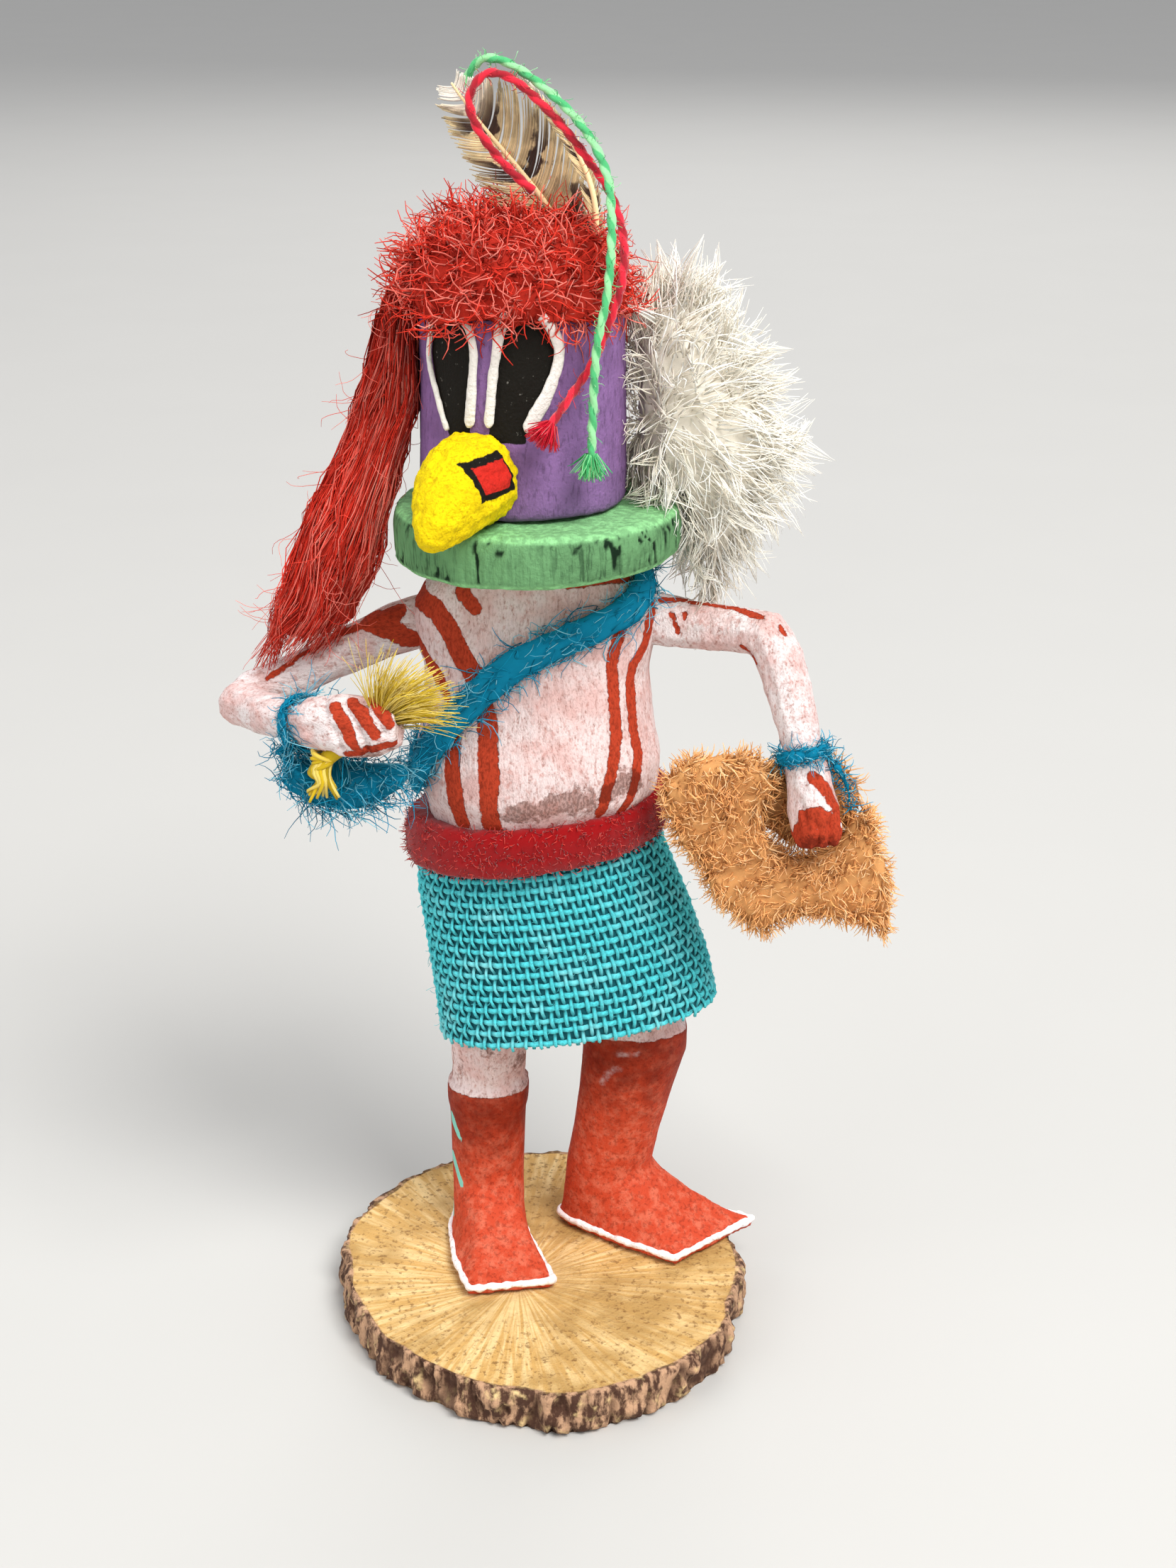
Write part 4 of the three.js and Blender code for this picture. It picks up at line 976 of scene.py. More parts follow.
def carved_body(carving, material):
    points, faces, normals = skinned("body", carving.face, 3)
    x, y, z = points.T
    legs = z < LEG_TOP
    boot_top = np.where(x < BETWEEN_BOOTS, 30.3, 38.5) + 0.3 * noise(points, 2.0, 5)
    boot = np.where(legs, z - boot_top, 5.0)
    boot = np.clip(boot, -3, 5)
    knife = 0.16 * noise(points, (1.4, 1.4, 8.0), 1) + 0.07 * noise(points, (0.5, 0.5, 2.4), 2)
    facets = 0.22 * noise(points, (3.5, 3.5, 7.0), 6)
    crackle = 0.07 * noise(points, 0.75, 3)
    painted = (boot < 0) & legs
    points = points + normals * np.where(
        painted, 0.3 * knife + 0.4 * facets, knife + facets + crackle
    )[:, None]
    red = np.full(len(points), 5.0)
    for line, half in STRIPES:
        line = np.array(line)
        back = line * (1, -1, 1) + (0, 2 * TRUNK_MIDDLE_Y, 0)
        red = np.minimum(red, np.minimum(to_line(points, line, half), to_line(points, back, half)))
    red = np.minimum(red, to_line(points, SHOULDER_PATCH, (1.7, 1.5, 1.3, 0.9)))
    neck = [(4.2, -3.3, 104.4), (7.9, -2.1, 104.6), (11.4, 0.1, 104.2)]
    red = np.minimum(red, to_line(points, neck, 0.55))
    # Darker along the belly crease, painted shade under the ruff above 106.6 mm, and bare wood on the back
    # and on the legs above the boots.
    bare = np.minimum(to_line(points, CREASE, 1.5) + 1.4 * noise(points, 1.5, 10), 106.6 - z)
    back_side = np.where(y > TRUNK_MIDDLE_Y, 4.0 + noise(points, 7.0, 7) * 3.0, 9.0)
    bare = np.minimum(
        np.minimum(bare, np.where(z > LEG_TOP, back_side, 9.0)),
        np.where(legs & ~painted, 0.6 + 1.5 * noise(points, 3.0, 8), 9.0)
    )
    strokes = np.min([to_line(points, line, (0.75, 0.5)) for line in BOOT_STROKES], axis=0)
    smears = np.min([to_line(points, line, 0.1) for line in BOOT_SMEARS], axis=0)
    # How far up each boot its painted shade has grown, from 12 mm up on the right boot and 19 mm up on the
    # left.
    right, left = np.clip((z - 12) / 12, 0, 1.1), np.clip((z - 19) / 13, 0, 1.1)
    pile = Pile().add(
        points, faces, red=red, boot=boot, bare=np.clip(bare, -3, 9), stroke=np.minimum(strokes, 5),
        smear=np.minimum(smears, 5), shaft=np.where(x < BETWEEN_BOOTS, right, left),
    )
    piece = pile.piece("carved_body", material)
    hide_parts("body")


# Red strokes on the fingers of the right fist, and cuts between them.
FINGER_STROKES = (
    [(-23.4, -14.7, 93.0), (-22.1, -16.1, 91.0), (-21.0, -16.2, 88.4)],
    [(-21.4, -14.5, 93.6), (-20.0, -16.3, 92.4), (-18.5, -17.0, 90.2)],
    [(-18.8, -14.2, 93.9), (-17.7, -16.2, 92.8), (-16.8, -16.9, 91.5)],
)
RIGHT_CUTS = (
    [(-22.4, -14.6, 93.3), (-21.0, -16.2, 91.6), (-19.7, -16.8, 89.2), (-19.4, -15.4, 87.2)],
    [(-20.1, -14.4, 93.7), (-18.8, -16.2, 92.5), (-17.6, -17.0, 90.7), (-17.0, -15.6, 88.4)],
    [(-24.8, -13.8, 92.6), (-23.4, -15.4, 90.4), (-22.6, -15.6, 88.0)],
)
RIGHT_ARM_LINE = [
    (-33.4, 1.7, 90.8), (-29.1, 3.2, 93.4), (-24.5, 3.6, 95.9), (-20.6, 3.2, 97.7), (-17.0, 3.4, 98.8)
]
LEFT_ARM_LINE = [(15.5, 2.6, 100.6), (18.7, 3.2, 100.5), (21.4, 1.7, 100.4), (24.4, 0.1, 100.4),
(27.3, -2.7, 100.2),
                 (28.7, -3.4, 100.0)]
LEFT_SHOULDER = [(16.8, 1.1, 99.4), (17.6, 0.7, 97.2)], [(18.4, 1.0, 99.4), (18.6, 0.9, 98.0)]
LEFT_ELBOW = [(29.9, -3.6, 99.2), (30.3, -4.0, 98.2)], [(25.4, -3.0, 96.4), (27.0, -3.6, 94.6)]
LEFT_HAND_REDS = (
    [(33.8, -10.9, 82.4), (35.4, -11.0, 81.0), (36.2, -11.2, 79.4), (37.0, -11.2, 77.4)],
    [(32.6, -11.8, 77.2), (34.4, -12.4, 77.8), (36.4, -12.4, 76.6)],
    [(32.2, -11.6, 75.0), (34.4, -12.6, 74.6), (36.8, -12.0, 74.6)],
    [(32.4, -9.6, 72.6), (34.6, -10.0, 72.2), (36.8, -9.6, 72.8)],
)
LEFT_CUTS = tuple(
    [(x, -10.6, 79.2), (x + 0.2, -12.6, 76.6), (x + 0.3, -12.8, 74.4), (x + 0.3, -11.0, 72.4),
        (x + 0.3, -8.6, 72.0)]
    for x in (32.6, 34.2, 35.8)
)


def carved_arm(node, carving, material, knuckles, cuts, reds):
    points, faces, normals = skinned(node, carving.arm_face, 2)
    along = (0.4, 0.4, 3.0) if node == "left_arm" else (3.0, 0.7, 1.0)
    points = points + normals * (0.10 * noise(points, along, 3) + 0.12 * noise(points, 2.4, 5))[:, None]
    reach = np.clip((18.5 - np.abs(points[:, 0])) / 3.0, 0, 1)
    points[:, 0] -= np.sign(points[:, 0]) * 1.3 * reach * (points[:, 1] > -5)
    for line in cuts:
        points = grooved(points, normals, line, 0.42, 0.7)
    red = np.min([to_line(points, line, half) for line, half in reds], axis=0)
    bare = np.full(len(points), 4.0)
    # Bare wood at the knuckles.
    if knuckles is not None:
        ends = np.linalg.norm(points - knuckles[0], axis=1) - knuckles[1]
        bare = np.minimum(bare, ends)
    # Painted shade: where the arm's surface faces down, its underside darkens like bare wood.
    low = 3.0 + 3.0 * normals[:, 2] + noise(points, 3.0, 7)
    pile = Pile().add(
        points, faces, red=red, boot=5.0, bare=np.clip(np.minimum(bare, low), -3, 9), stroke=5.0, smear=5.0,
        shaft=0.0
    )
    piece = pile.piece(f"carved_{node}", material)
    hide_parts(node)


# The edge of each sole: the ankle's place, the boot's heading, and corners forward and sideways of it.
SOLES = (
    ("right", (-7.4, 7.6), 14.6,
     [(-6.0, -3.4), (-6.4, 3.0), (-1.5, 4.8), (15.8, 5.7), (14.9, -6.1), (7.5, -6.6), (-1.0, -5.4)]),
    ("left", (8.6, 12.4), 58.4,
     [(-5.0, -4.2), (-5.4, 3.6), (-2.0, 5.6), (19.9, 8.8), (15.4, -6.2), (7.0, -6.4), (-2.6, -5.4)]),
)
SOLE_TOP = 7.35


def sole_edge(name, ankle, heading, corners, material):
    """The raised white bead round a boot's sole, thick and rough like dried paint."""
    turn = math.radians(heading) - math.pi / 2
    c, s = math.cos(turn), math.sin(turn)
    spots = [(ankle[0] + f * c - w * s, ankle[1] + f * s + w * c) for f, w in corners]
    line = []
    for (ax, ay), (bx, by) in zip(spots, spots[1:] + spots[:1]):
        steps = max(4, int(math.hypot(bx - ax, by - ay) / 0.3))
        for t in np.linspace(0, 1, steps, endpoint=False):
            line.append((ax + (bx - ax) * t, ay + (by - ay) * t, SOLE_TOP))
    line = np.array(line)
    for _ in range(3):
        line = (np.roll(line, 1, axis=0) + 2 * line + np.roll(line, -1, axis=0)) / 4
    middle = line.mean(axis=0)
    outward = unit(line - middle)
    line = line - 0.25 * outward + columns(0, 0, 0.12 * noise(line, 1.2, 3))
    lumps = 0.46 + 0.13 * noise(line, 0.9, 7) + 0.07 * noise(line, 0.45, 8)
    points, faces = tubes(
        line[None], lumps[None], (lumps * 0.95)[None], out=outward[None], sides=10, closed=True
    )
    points = points + 0.06 * noises(points, 0.4, (1, 2, 3))
    piece = Pile().add(points, faces).piece(name, material)


def bead_material(name, colour, dirt, roughness=0.6):
    """Thick dried paint with patches of dirt."""
    material, nodes, shader = new_material(name, roughness, 0.0, 0.45)
    place = nodes.place()
    worn = nodes.group("Streaks", Place=place, Scale=1.5, Low=0.5, High=0.72)
    nodes.put(shader.inputs["Base Color"], nodes.mix(colour, dirt, nodes.times(worn["Mask"], 0.5)))
    bumped(nodes, shader, nodes.noise(place, 2.6, 4.0), 0.2)
    return material


class DOLL_OT_carving(bpy.types.Operator):
    """Adds the carved and painted trunk, legs and arms"""

    bl_idname = "doll.carving"
    bl_label = "Carved body and arms"

    def execute(self, context):
        carving = context.scene.doll_carving
        carved_body(carving, skin_material("Painted body", carving, (1.0, 1.0, 0.2), 0.35))
        right = skin_material("Painted right arm", carving, (0.25, 0.7, 1.0), 0.12)
        left = skin_material("Painted left arm", carving, (0.7, 1.0, 0.3), 0.12)
        rights = [(line, (0.72, 0.92, 0.62)) for line in FINGER_STROKES]
        rights += [(RIGHT_ARM_LINE, (0.35, 0.5, 0.55, 0.7, 1.2)), (SHOULDER_PATCH, (1.7, 1.5, 1.3, 0.9))]
        rights += [([(-22.0, -15.0, 87.3), (-18.6, -16.6, 88.3), (-16.4, -16.4, 89.2)], 0.55)]
        carved_arm("right_arm", carving, right, (np.array([-19.0, -15.6, 87.4]), 1.2), RIGHT_CUTS, rights)
        lefts = [(LEFT_ARM_LINE, (0.5, 0.55, 0.42, 0.5, 0.55, 0.2))]
        lefts += [(line, 0.35) for line in (*LEFT_SHOULDER, *LEFT_ELBOW)]
        lefts += [(line, half) for line, half in zip(LEFT_HAND_REDS, (0.8, 1.3, 1.7, 2.4))]
        carved_arm("left_arm", carving, left, (np.array([34.8, -11.0, 73.0]), 2.6), LEFT_CUTS, lefts)
        white = bead_material(
            "Sole edge", shaded(tuple(carving.whitewash), 1.1), shaded(tuple(carving.wood), 1.2)
        )
        for side, ankle, heading, corners in SOLES:
            sole_edge(f"{side}_sole_edge", ankle, heading, corners, white)
        return {"FINISHED"}


# ---------------------------------------------------------------- head
MASK_X, MASK_Y, MASK_R = -1.3, 2.0, 12.6
EYE_LOW, EYE_HIGH = 123.5, 138.4
BEAK_FACE = 0.00028  # how fine the skin of the beak is, in metres
# Raised lines beside the eyes, from the brow down, with the half width of each at its two ends.
EYE_LINES = (
    ([(-11.3, 138.6), (-11.6, 135.7), (-11.9, 132.8), (-11.6, 130.5), (-11.0, 128.3), (-10.3, 125.8),
        (-9.8, 124.4)], 0.3, 0.42),
    ([(-8.8, 139.0), (-7.9, 137.6), (-7.0, 136.4), (-6.5, 133.8), (-6.7, 131.0), (-6.9, 128.3),
        (-7.2, 125.2)], 0.5, 0.64),
    ([(-2.8, 138.6), (-3.5, 136.2), (-4.0, 133.3), (-4.4, 130.7), (-4.6, 128.5), (-4.8, 126.6),
        (-4.9, 125.4)], 0.62, 0.55),
    ([(1.2, 138.2), (2.4, 136.8), (3.2, 134.6), (3.1, 132.7), (2.4, 130.6), (1.5, 128.5), (0.5, 126.9),
        (-0.5, 124.9)], 0.62, 0.85),
)


def on_mask(x, z, off=0.0):
    """The place on the front of the mask at a side position and a height."""
    return (x, MASK_Y - math.sqrt(max(0.0, MASK_R**2 - (x - MASK_X) ** 2)) - off, z)


def around(points):
    """How far round the mask points are from straight ahead, in millimetres."""
    return MASK_R * np.arctan2(points[:, 0] - MASK_X, MASK_Y - points[:, 1])


def eye_outside(points):
    """How far points are outside the black eyes."""
    best = np.full(len(points), 9.0)
    run, z = around(points), points[:, 2]
    for left, right in ((0, 1), (2, 3)):
        edges = []
        for line in (EYE_LINES[left][0], EYE_LINES[right][0]):
            spots = np.array([on_mask(x, z_at) for x, z_at in line])
            order = np.argsort(spots[:, 2])
            edges.append(np.interp(z, spots[order, 2], around(spots)[order]))
        outside = np.maximum(
            np.maximum(edges[0] - run, run - edges[1]), np.maximum(EYE_LOW - z, z - EYE_HIGH)
        )
        best = np.minimum(best, outside)
    return best


def painted_head_material(
    name, base, dark, mark, marks_colour, second, second_colour, bump, grain, ragged=0.25
):
    """A painted piece with up to two painted marks on it."""
    material, nodes, shader = new_material(name, 0.66, 0.0, 0.12)
    place = nodes.place()
    patch = nodes.between(nodes.noise(place, 0.28, 4.0, 0.6), 0.35, 0.7)
    fine = nodes.group(
        "Streaks", Place=nodes.stretch(place, (1.0, 1.0, grain)), Scale=2.2, Low=0.33, High=0.5
    )
    colour = nodes.mix(base, toned(base, dark, 0.3), patch)
    colour = nodes.mix(toned(base, dark, 0.6), colour, fine["Mask"])
    first = nodes.brushed(mark, place, ragged, 0.06)
    speck = nodes.between(nodes.noise(place, 1.7, 3.0), 0.66, 0.74)
    mark_colour = nodes.mix(marks_colour, toned(marks_colour, (0.4, 0.38, 0.33), 0.35), speck)
    colour = nodes.mix(colour, mark_colour, first)
    if second:
        other = nodes.brushed(second, place, 0.5, 0.06)
        shade = nodes.mix(
            shaded(second_colour, 0.75), shaded(second_colour, 1.15), nodes.noise(place, 2.0, 2.0)
        )
        colour = nodes.mix(colour, shade, other)
    nodes.put(shader.inputs["Base Color"], colour)
    height = nodes.plus(fine["Height"], nodes.times(nodes.noise(place, 3.0, 3.0), 0.6))
    bumped(nodes, shader, height, bump)
    return material


BEAK_SQUARE = np.array([-4.6, -14.8, 120.75])
SQUARE_SIDE, SQUARE_UP = unit(np.array([0.65, 0.76, 0.0])), np.array([0.0, 0.0, 1.0])
SQUARE_OUTER = [(-3.6, 1.95), (2.4, 2.55), (3.8, -2.05), (-2.55, -2.45)]
SQUARE_INNER = [(-2.5, 1.4), (2.5, 1.75), (3.0, -1.55), (-1.9, -1.6)]


def beak_mark(points, normals, outline):
    """How far points are outside the square mark on the left side of the beak."""
    gap = points - BEAK_SQUARE
    outside = in_polygon(gap @ SQUARE_SIDE, gap @ SQUARE_UP, outline)
    outside = np.where(normals @ np.cross(SQUARE_SIDE, SQUARE_UP) > 0.1, outside, 5.0)
    return np.clip(outside, -3, 5)


class DOLL_OT_head(bpy.types.Operator):
    """Adds the ruff, the mask with its eyes, and the beak"""

    bl_idname = "doll.head"
    bl_label = "Ruff, mask and beak"

    def execute(self, context):
        carving = context.scene.doll_carving
        green, dark = tuple(carving.ruff), tuple(carving.ruff_dark)
        points, faces, normals = skinned("ruff", carving.head_face, 2)
        upright = 1 - np.abs(normals[:, 2])
        split = np.clip(0.2 - np.abs(noise(points, (0.5, 0.5, 5.0), 4)), 0, 1) * 5
        split = split * np.clip(1.6 * noise(points, (2.2, 2.2, 2.6), 9) + 0.45, 0, 1)
        push = upright * (
            0.12 * noise(points, (0.5, 0.5, 4.0), 2) - 0.28 * split
        ) + 0.14 * noise(points, 2.5, 5)
        push = push + (1 - upright) * 0.05 * noise(points, 0.8, 6)
        pile = Pile().add(
            points + normals * push[:, None], faces, split=np.clip(split * upright, 0, 1), rim=upright
        )
        piece = pile.piece("wooden_ruff", self.ruff_material(green, dark))
        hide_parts("ruff")

        points, faces, normals = skinned("mask", carving.head_face, 3)
        push = 0.10 * noise(points, (1.6, 1.6, 6.0), 3) + 0.14 * noise(points, (4, 4, 9.0), 4)
        points = points + normals * push[:, None]
        pits = np.min([np.linalg.norm(points - spot, axis=1) for spot in self.pits()], axis=0)
        points = points - normals * (0.35 * np.exp(-((pits / 0.28) ** 2)))[:, None]
        pile = Pile().add(points, faces, eye=np.clip(eye_outside(points), -4, 6))
        purple = tuple(carving.mask)
        material = painted_head_material(
            "Purple mask", purple, shaded(purple, 0.35), "eye", tuple(carving.eye), None, None, 0.22, 0.3, 0.5
        )
        piece = pile.piece("painted_mask", material)
        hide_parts("mask")

        pile = Pile()
        for line, top, low in EYE_LINES:
            path = smooth_line([on_mask(x, z, 0.1) for x, z in line], 70)
            out = unit(columns(path[:, 0] - MASK_X, path[:, 1] - MASK_Y, 0))
            wide = np.linspace(top, low, 70) * (1 + 0.14 * noise(path, 1.1, 6))
            wide[-4:] *= (0.97, 0.88, 0.7, 0.4)
            points, faces = tubes(path[None], wide[None], 0.3, out=out[None], sides=10)
            pile.add(points + 0.04 * noises(points, 0.5, (1, 2, 3)), faces)
        line_tint = tuple(carving.line)
        piece = pile.piece("eye_lines", bead_material("Eye line", line_tint, shaded(line_tint, 0.55)))

        points, faces, normals = skinned("beak", BEAK_FACE, 4)
        lumps = (
            0.2 * noise(points, (0.9, 0.9, 0.6), 2) + 0.12 * noise(points, 0.42, 3) + 0.2
            * noise(points, 2.6, 4)
        )
        points = points + normals * lumps[:, None]
        outer, inner = beak_mark(points, normals, SQUARE_OUTER), beak_mark(points, normals, SQUARE_INNER)
        pile = Pile().add(points, faces, outer=outer, inner=inner)
        yellow = tuple(carving.beak)
        material = painted_head_material(
            "Yellow beak", yellow, (0.45, 0.25, 0.0), "outer", tuple(carving.eye), "inner",
            tuple(carving.beak_mark),
            0.3, 1.0, 0.4,
        )
        piece = pile.piece("painted_beak", material)
        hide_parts("beak")
        return {"FINISHED"}

    def pits(self):
        rng = np.random.default_rng(5)
        for _ in range(26):
            a, z = rng.uniform(0, TURN), rng.uniform(116, 136)
            yield np.array([MASK_X + MASK_R * math.cos(a), MASK_Y + MASK_R * math.sin(a), z])

    def ruff_material(self, green, dark):
        material, nodes, shader = new_material("Green ruff", 0.85, 0.0, 0.1)
        place = nodes.place()
        streak = nodes.group(
            "Streaks", Place=nodes.stretch(place, (1.0, 1.0, 0.14)), Scale=1.9, Low=0.38, High=0.52
        )
        spots = nodes.group("Streaks", Place=place, Scale=1.1, Low=0.36, High=0.6)
        broad = nodes.between(nodes.noise(place, 0.14, 3.0), 0.35, 0.65)
        # Painted highlight on the top, 1.75 and 1.15 times the green, and painted shade on the upright sides,
        # 0.66 times it; rim is how upright the surface is.
        top = nodes.mix(shaded(green, 1.75), shaded(green, 1.15), spots["Mask"])
        side = nodes.mix(toned(green, dark, 0.75), shaded(green, 0.66), streak["Mask"])
        side = nodes.mix(side, shaded(green, 0.95), nodes.times(broad, 0.6))
        colour = nodes.mix(top, side, nodes.between(nodes.measure("rim"), 0.35, 0.75))
        colour = nodes.mix(colour, dark, nodes.between(nodes.measure("split"), 0.1, 0.6))
        nodes.put(shader.inputs["Base Color"], colour)
        bumped(nodes, shader, nodes.plus(streak["Height"], spots["Height"]), 0.35)
        return material


# ---------------------------------------------------------------- kilt and sash
# The kilt's rings from the hem up: height, middle, half width, half depth, and its rise towards the left.
KILT_RINGS = np.array([
    (42.9, 5.2, 4.5, 18.6, 10.2, 0.15), (49, 4.3, 4.5, 18.3, 10.1, 0.14), (57, 2.5, 4.5, 17.5, 10.0, 0.13),
    (64, 0.7, 4.4, 16.6, 10.0, 0.125), (69.8, -0.1, 4.3, 15.4, 10.0, 0.125),
])


def on_kilt(bearing, height, inset):
    """Places on the kilt at bearings round it, heights up it, and depths into it."""
    bearing, height, inset = np.broadcast_arrays(bearing, height, inset)
    x, y, across, deep, lean = (np.interp(height, KILT_RINGS[:, 0], KILT_RINGS[:, k]) for k in range(1, 6))
    bend = 1 / 1.06
    c, s = np.cos(bearing), np.sin(bearing)
    dx = (across - inset) * np.sign(c) * np.abs(c) ** bend
    dy = (deep - inset) * np.sign(s) * np.abs(s) ** bend
    below = np.clip(KILT_RINGS[0, 0] - height, 0, None)
    return np.stack([x + dx, y + dy, np.maximum(height, KILT_RINGS[0, 0]) - below + lean * dx], axis=-1)


def thread_material(name, colour, dark):
    material, nodes, shader = new_material(name, 0.85, 0.1, 0.1)
    place = nodes.place()
    fibre = nodes.group("Streaks", Place=place, Scale=3.2, Low=0.3, High=0.62)
    patch = nodes.noise(place, 0.22, 3.0)
    lit = nodes.mix(shaded(colour, 0.72), shaded(colour, 1.12), fibre["Mask"])
    lit = nodes.mix(lit, toned(colour, (0.6, 0.9, 0.9), 0.35), nodes.between(patch, 0.45, 0.85))
    # Painted shade: where a thread dives under others, low on the rise measure, it darkens towards the shade
    # colour.
    deep = nodes.between(nodes.measure("rise"), 0.0, 1.0)
    nodes.put(shader.inputs["Base Color"], nodes.mix(toned(colour, dark, 0.75), lit, deep))
    bumped(nodes, shader, fibre["Height"], 0.12)
    return material


class DOLL_OT_kilt(bpy.types.Operator):
    """Adds the turquoise burlap kilt, woven thread by thread"""

    bl_idname = "doll.kilt"
    bl_label = "Kilt"

    def execute(self, context):
        cloth = context.scene.doll_cloth
        rng = np.random.default_rng(31)
        colour, dark = tuple(cloth.burlap), tuple(cloth.burlap_shade)
        warps, wefts = cloth.warps, cloth.wefts
        fine = np.linspace(0, TURN, 2000)
        ring = on_kilt(fine, 56.0, 0.0)
        run = np.concatenate([[0], np.cumsum(np.linalg.norm(np.diff(ring, axis=0), axis=1))])
        bearing_at = lambda share: np.interp(np.mod(share, 1) * run[-1], run, fine)
        low, high = 43.3, 69.6  # the lowest and the highest level thread
        step = (high - low) / (wefts - 1)
        middle = 0.62  # how deep in the cloth the threads lie
        wave = 0.27  # how far they weave in and out

        pile = Pile()
        # A dark sheet just inside the threads: painted shade that shows through the gaps of the weave.
        inside, outside = 1.0, 0.78
        bearings = bearing_at(np.arange(128) / 128)
        heights = np.linspace(low - 0.35, high, 20)
        grid = [on_kilt(bearings[None, :], heights[:, None], depth) for depth in (outside, inside)]
        rings = np.concatenate([grid[0], grid[1][::-1]])
        rows, sides = len(rings), 128
        i, j = np.arange(rows)[:, None] * sides, np.arange(sides)[None, :]
        ahead = ((np.arange(rows) + 1) % rows)[:, None] * sides
        quads = np.stack(
            [i + j, i + (j + 1) % sides, ahead + (j + 1) % sides, ahead + j], axis=-1
        ).reshape(-1, 4)
        sheet = pile.add(rings.reshape(-1, 3), [quads], rise=0.0).piece(
            "kilt_shade_backing", thread_material("Burlap shade backing", toned(colour, dark, 0.8), dark)
        )

        pile = Pile()
        steps = warps * 2
        place = np.arange(steps) / 2
        for row in range(wefts):
            share = (place + 0.12 * noise(columns(place, row * 9, 0), 2.0, 1)) / warps
            over = np.cos(math.pi * (place + row))
            wander = 0.16 * noise(columns(place * 0.9, row * 5, 0), 6.0, 2)
            height = low + row * step + wander
            path = on_kilt(bearing_at(share), height, middle - wave * 0.75 * over)
            out = unit(on_kilt(bearing_at(share), height, 0.0) - on_kilt(bearing_at(share), height, 1.0))
            fat = 1 + 0.16 * noise(path, 2.2, 3) + 0.1 * noise(path, 0.9, 4)
            wide = cloth.weft_wide / MM * fat
            points, faces = tubes(
                path[None], wide[None], (wide * 0.7)[None], out=out[None], sides=6, closed=True
            )
            pile.add(points, faces, rise=np.repeat(0.62 + 0.3 * over, 6))
        rows = np.arange(wefts * 3) / 3 - 0.35
        for warp in range(warps):
            over = -np.cos(math.pi * (warp + rows))
            sway = 0.10 * noise(columns(rows, warp * 7, 0), 3.0, 5)
            share = (warp + sway + 0.06 * rng.normal()) / warps
            end = low + rows * step
            end[0] += rng.uniform(-0.25, 0.25)
            path = on_kilt(bearing_at(share), end, middle - wave * 1.25 * over)
            out = unit(on_kilt(bearing_at(share), end, 0.0) - on_kilt(bearing_at(share), end, 1.0))
            wide = cloth.warp_wide / MM * (1 + 0.15 * noise(path, 1.6, 6))
            points, faces = tubes(path[None], wide[None], (wide * 0.9)[None], out=out[None], sides=4)
            pile.add(points, faces, rise=np.repeat(0.6 + 0.4 * over, 4))
        number = 420
        share, height = rng.random(number), rng.uniform(low, high - 2, number)
        roots = on_kilt(bearing_at(share), height, 0.3)
        out = unit(roots - on_kilt(bearing_at(share), height, 1.3))
        paths = grown(
            roots, out * 0.6 + rng.normal(size=(number, 3)), rng.uniform(0.5, 1.6, number), 5, rng, 0.6, 0.3
        )
        points, faces = tubes(paths, 0.035)
        pile.add(points, faces, rise=1.0)
        weave = pile.piece("kilt_weave", thread_material("Burlap thread", colour, dark))
        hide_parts("kilt")
        return {"FINISHED"}


class DOLL_OT_sash(bpy.types.Operator):
    """Adds the red felt sash"""

    bl_idname = "doll.sash"
    bl_label = "Sash"

    def execute(self, context):
        cloth = context.scene.doll_cloth
        rng = np.random.default_rng(41)
        felt, fuzz = tuple(cloth.felt), tuple(cloth.felt_fuzz)
        points, faces, normals = skinned("sash", 0.0005, 3)
        push = (
            0.16 * noise(points, (3.0, 3.0, 1.8), 1) + 0.08 * noise(points, 0.8, 2) + 0.05
            * noise(points, 0.45, 3)
        )
        middle = np.array([-0.1, 4.2, 0])
        away = unit((points - middle) * (1, 1, 0))
        lip = np.sum(away * normals, axis=1) < 0.35
        lip = lip & (points[:, 2] - 0.13 * points[:, 0] > 72.0)
        points = points + normals * push[:, None] - away * (1.0 * lip)[:, None]
        pile = Pile().add(points, faces, tone=0.4, reach=0.75)
        outer = lambda p, n: np.sum(unit((p - middle) * (0.5, 1, 0)) * n, axis=1) > 0.1
        roots, out = scattered("sash", 2400, rng, outer)
        heading = out * 0.55 + rng.normal(size=roots.shape) * 0.6
        paths = grown(roots - 0.05 * out, heading, rng.uniform(0.4, 1.2, len(roots)), 3, rng, 0.7, 0.3)
        hairs(pile, paths, 0.055, rng, tip=0.6, tone=rng.uniform(0.35, 1.0, len(roots)))
        material = hair_material("Red felt", shaded(felt, 0.5), felt, fuzz, 0.6, 0.3, 0.9)
        piece = pile.piece("felt_sash", material)
        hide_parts("sash")
        return {"FINISHED"}


# ---------------------------------------------------------------- wool
CORE_FACE = 0.0006  # how fine the under-layer of hair and fur is, in metres
HAIR_GAP = 0.15  # how far hairs stay off what they lie on


def wool_core(pile, node, face, shrink, tone, lumps=0.2):
    """A lumpy under-layer, a little inside a solid, that keeps hairs from showing what is behind. Its low
    reach gives it the painted root shade of the hair colour, as the shade deep in the hair.
    """
    points, faces, normals = skinned(node, face, 3)
    push = -shrink + lumps * noise(points, 1.3, 2) + 0.5 * lumps * noise(points, 0.6, 3)
    return pile.add(points + normals * push[:, None], faces, tone=tone, reach=0.25)


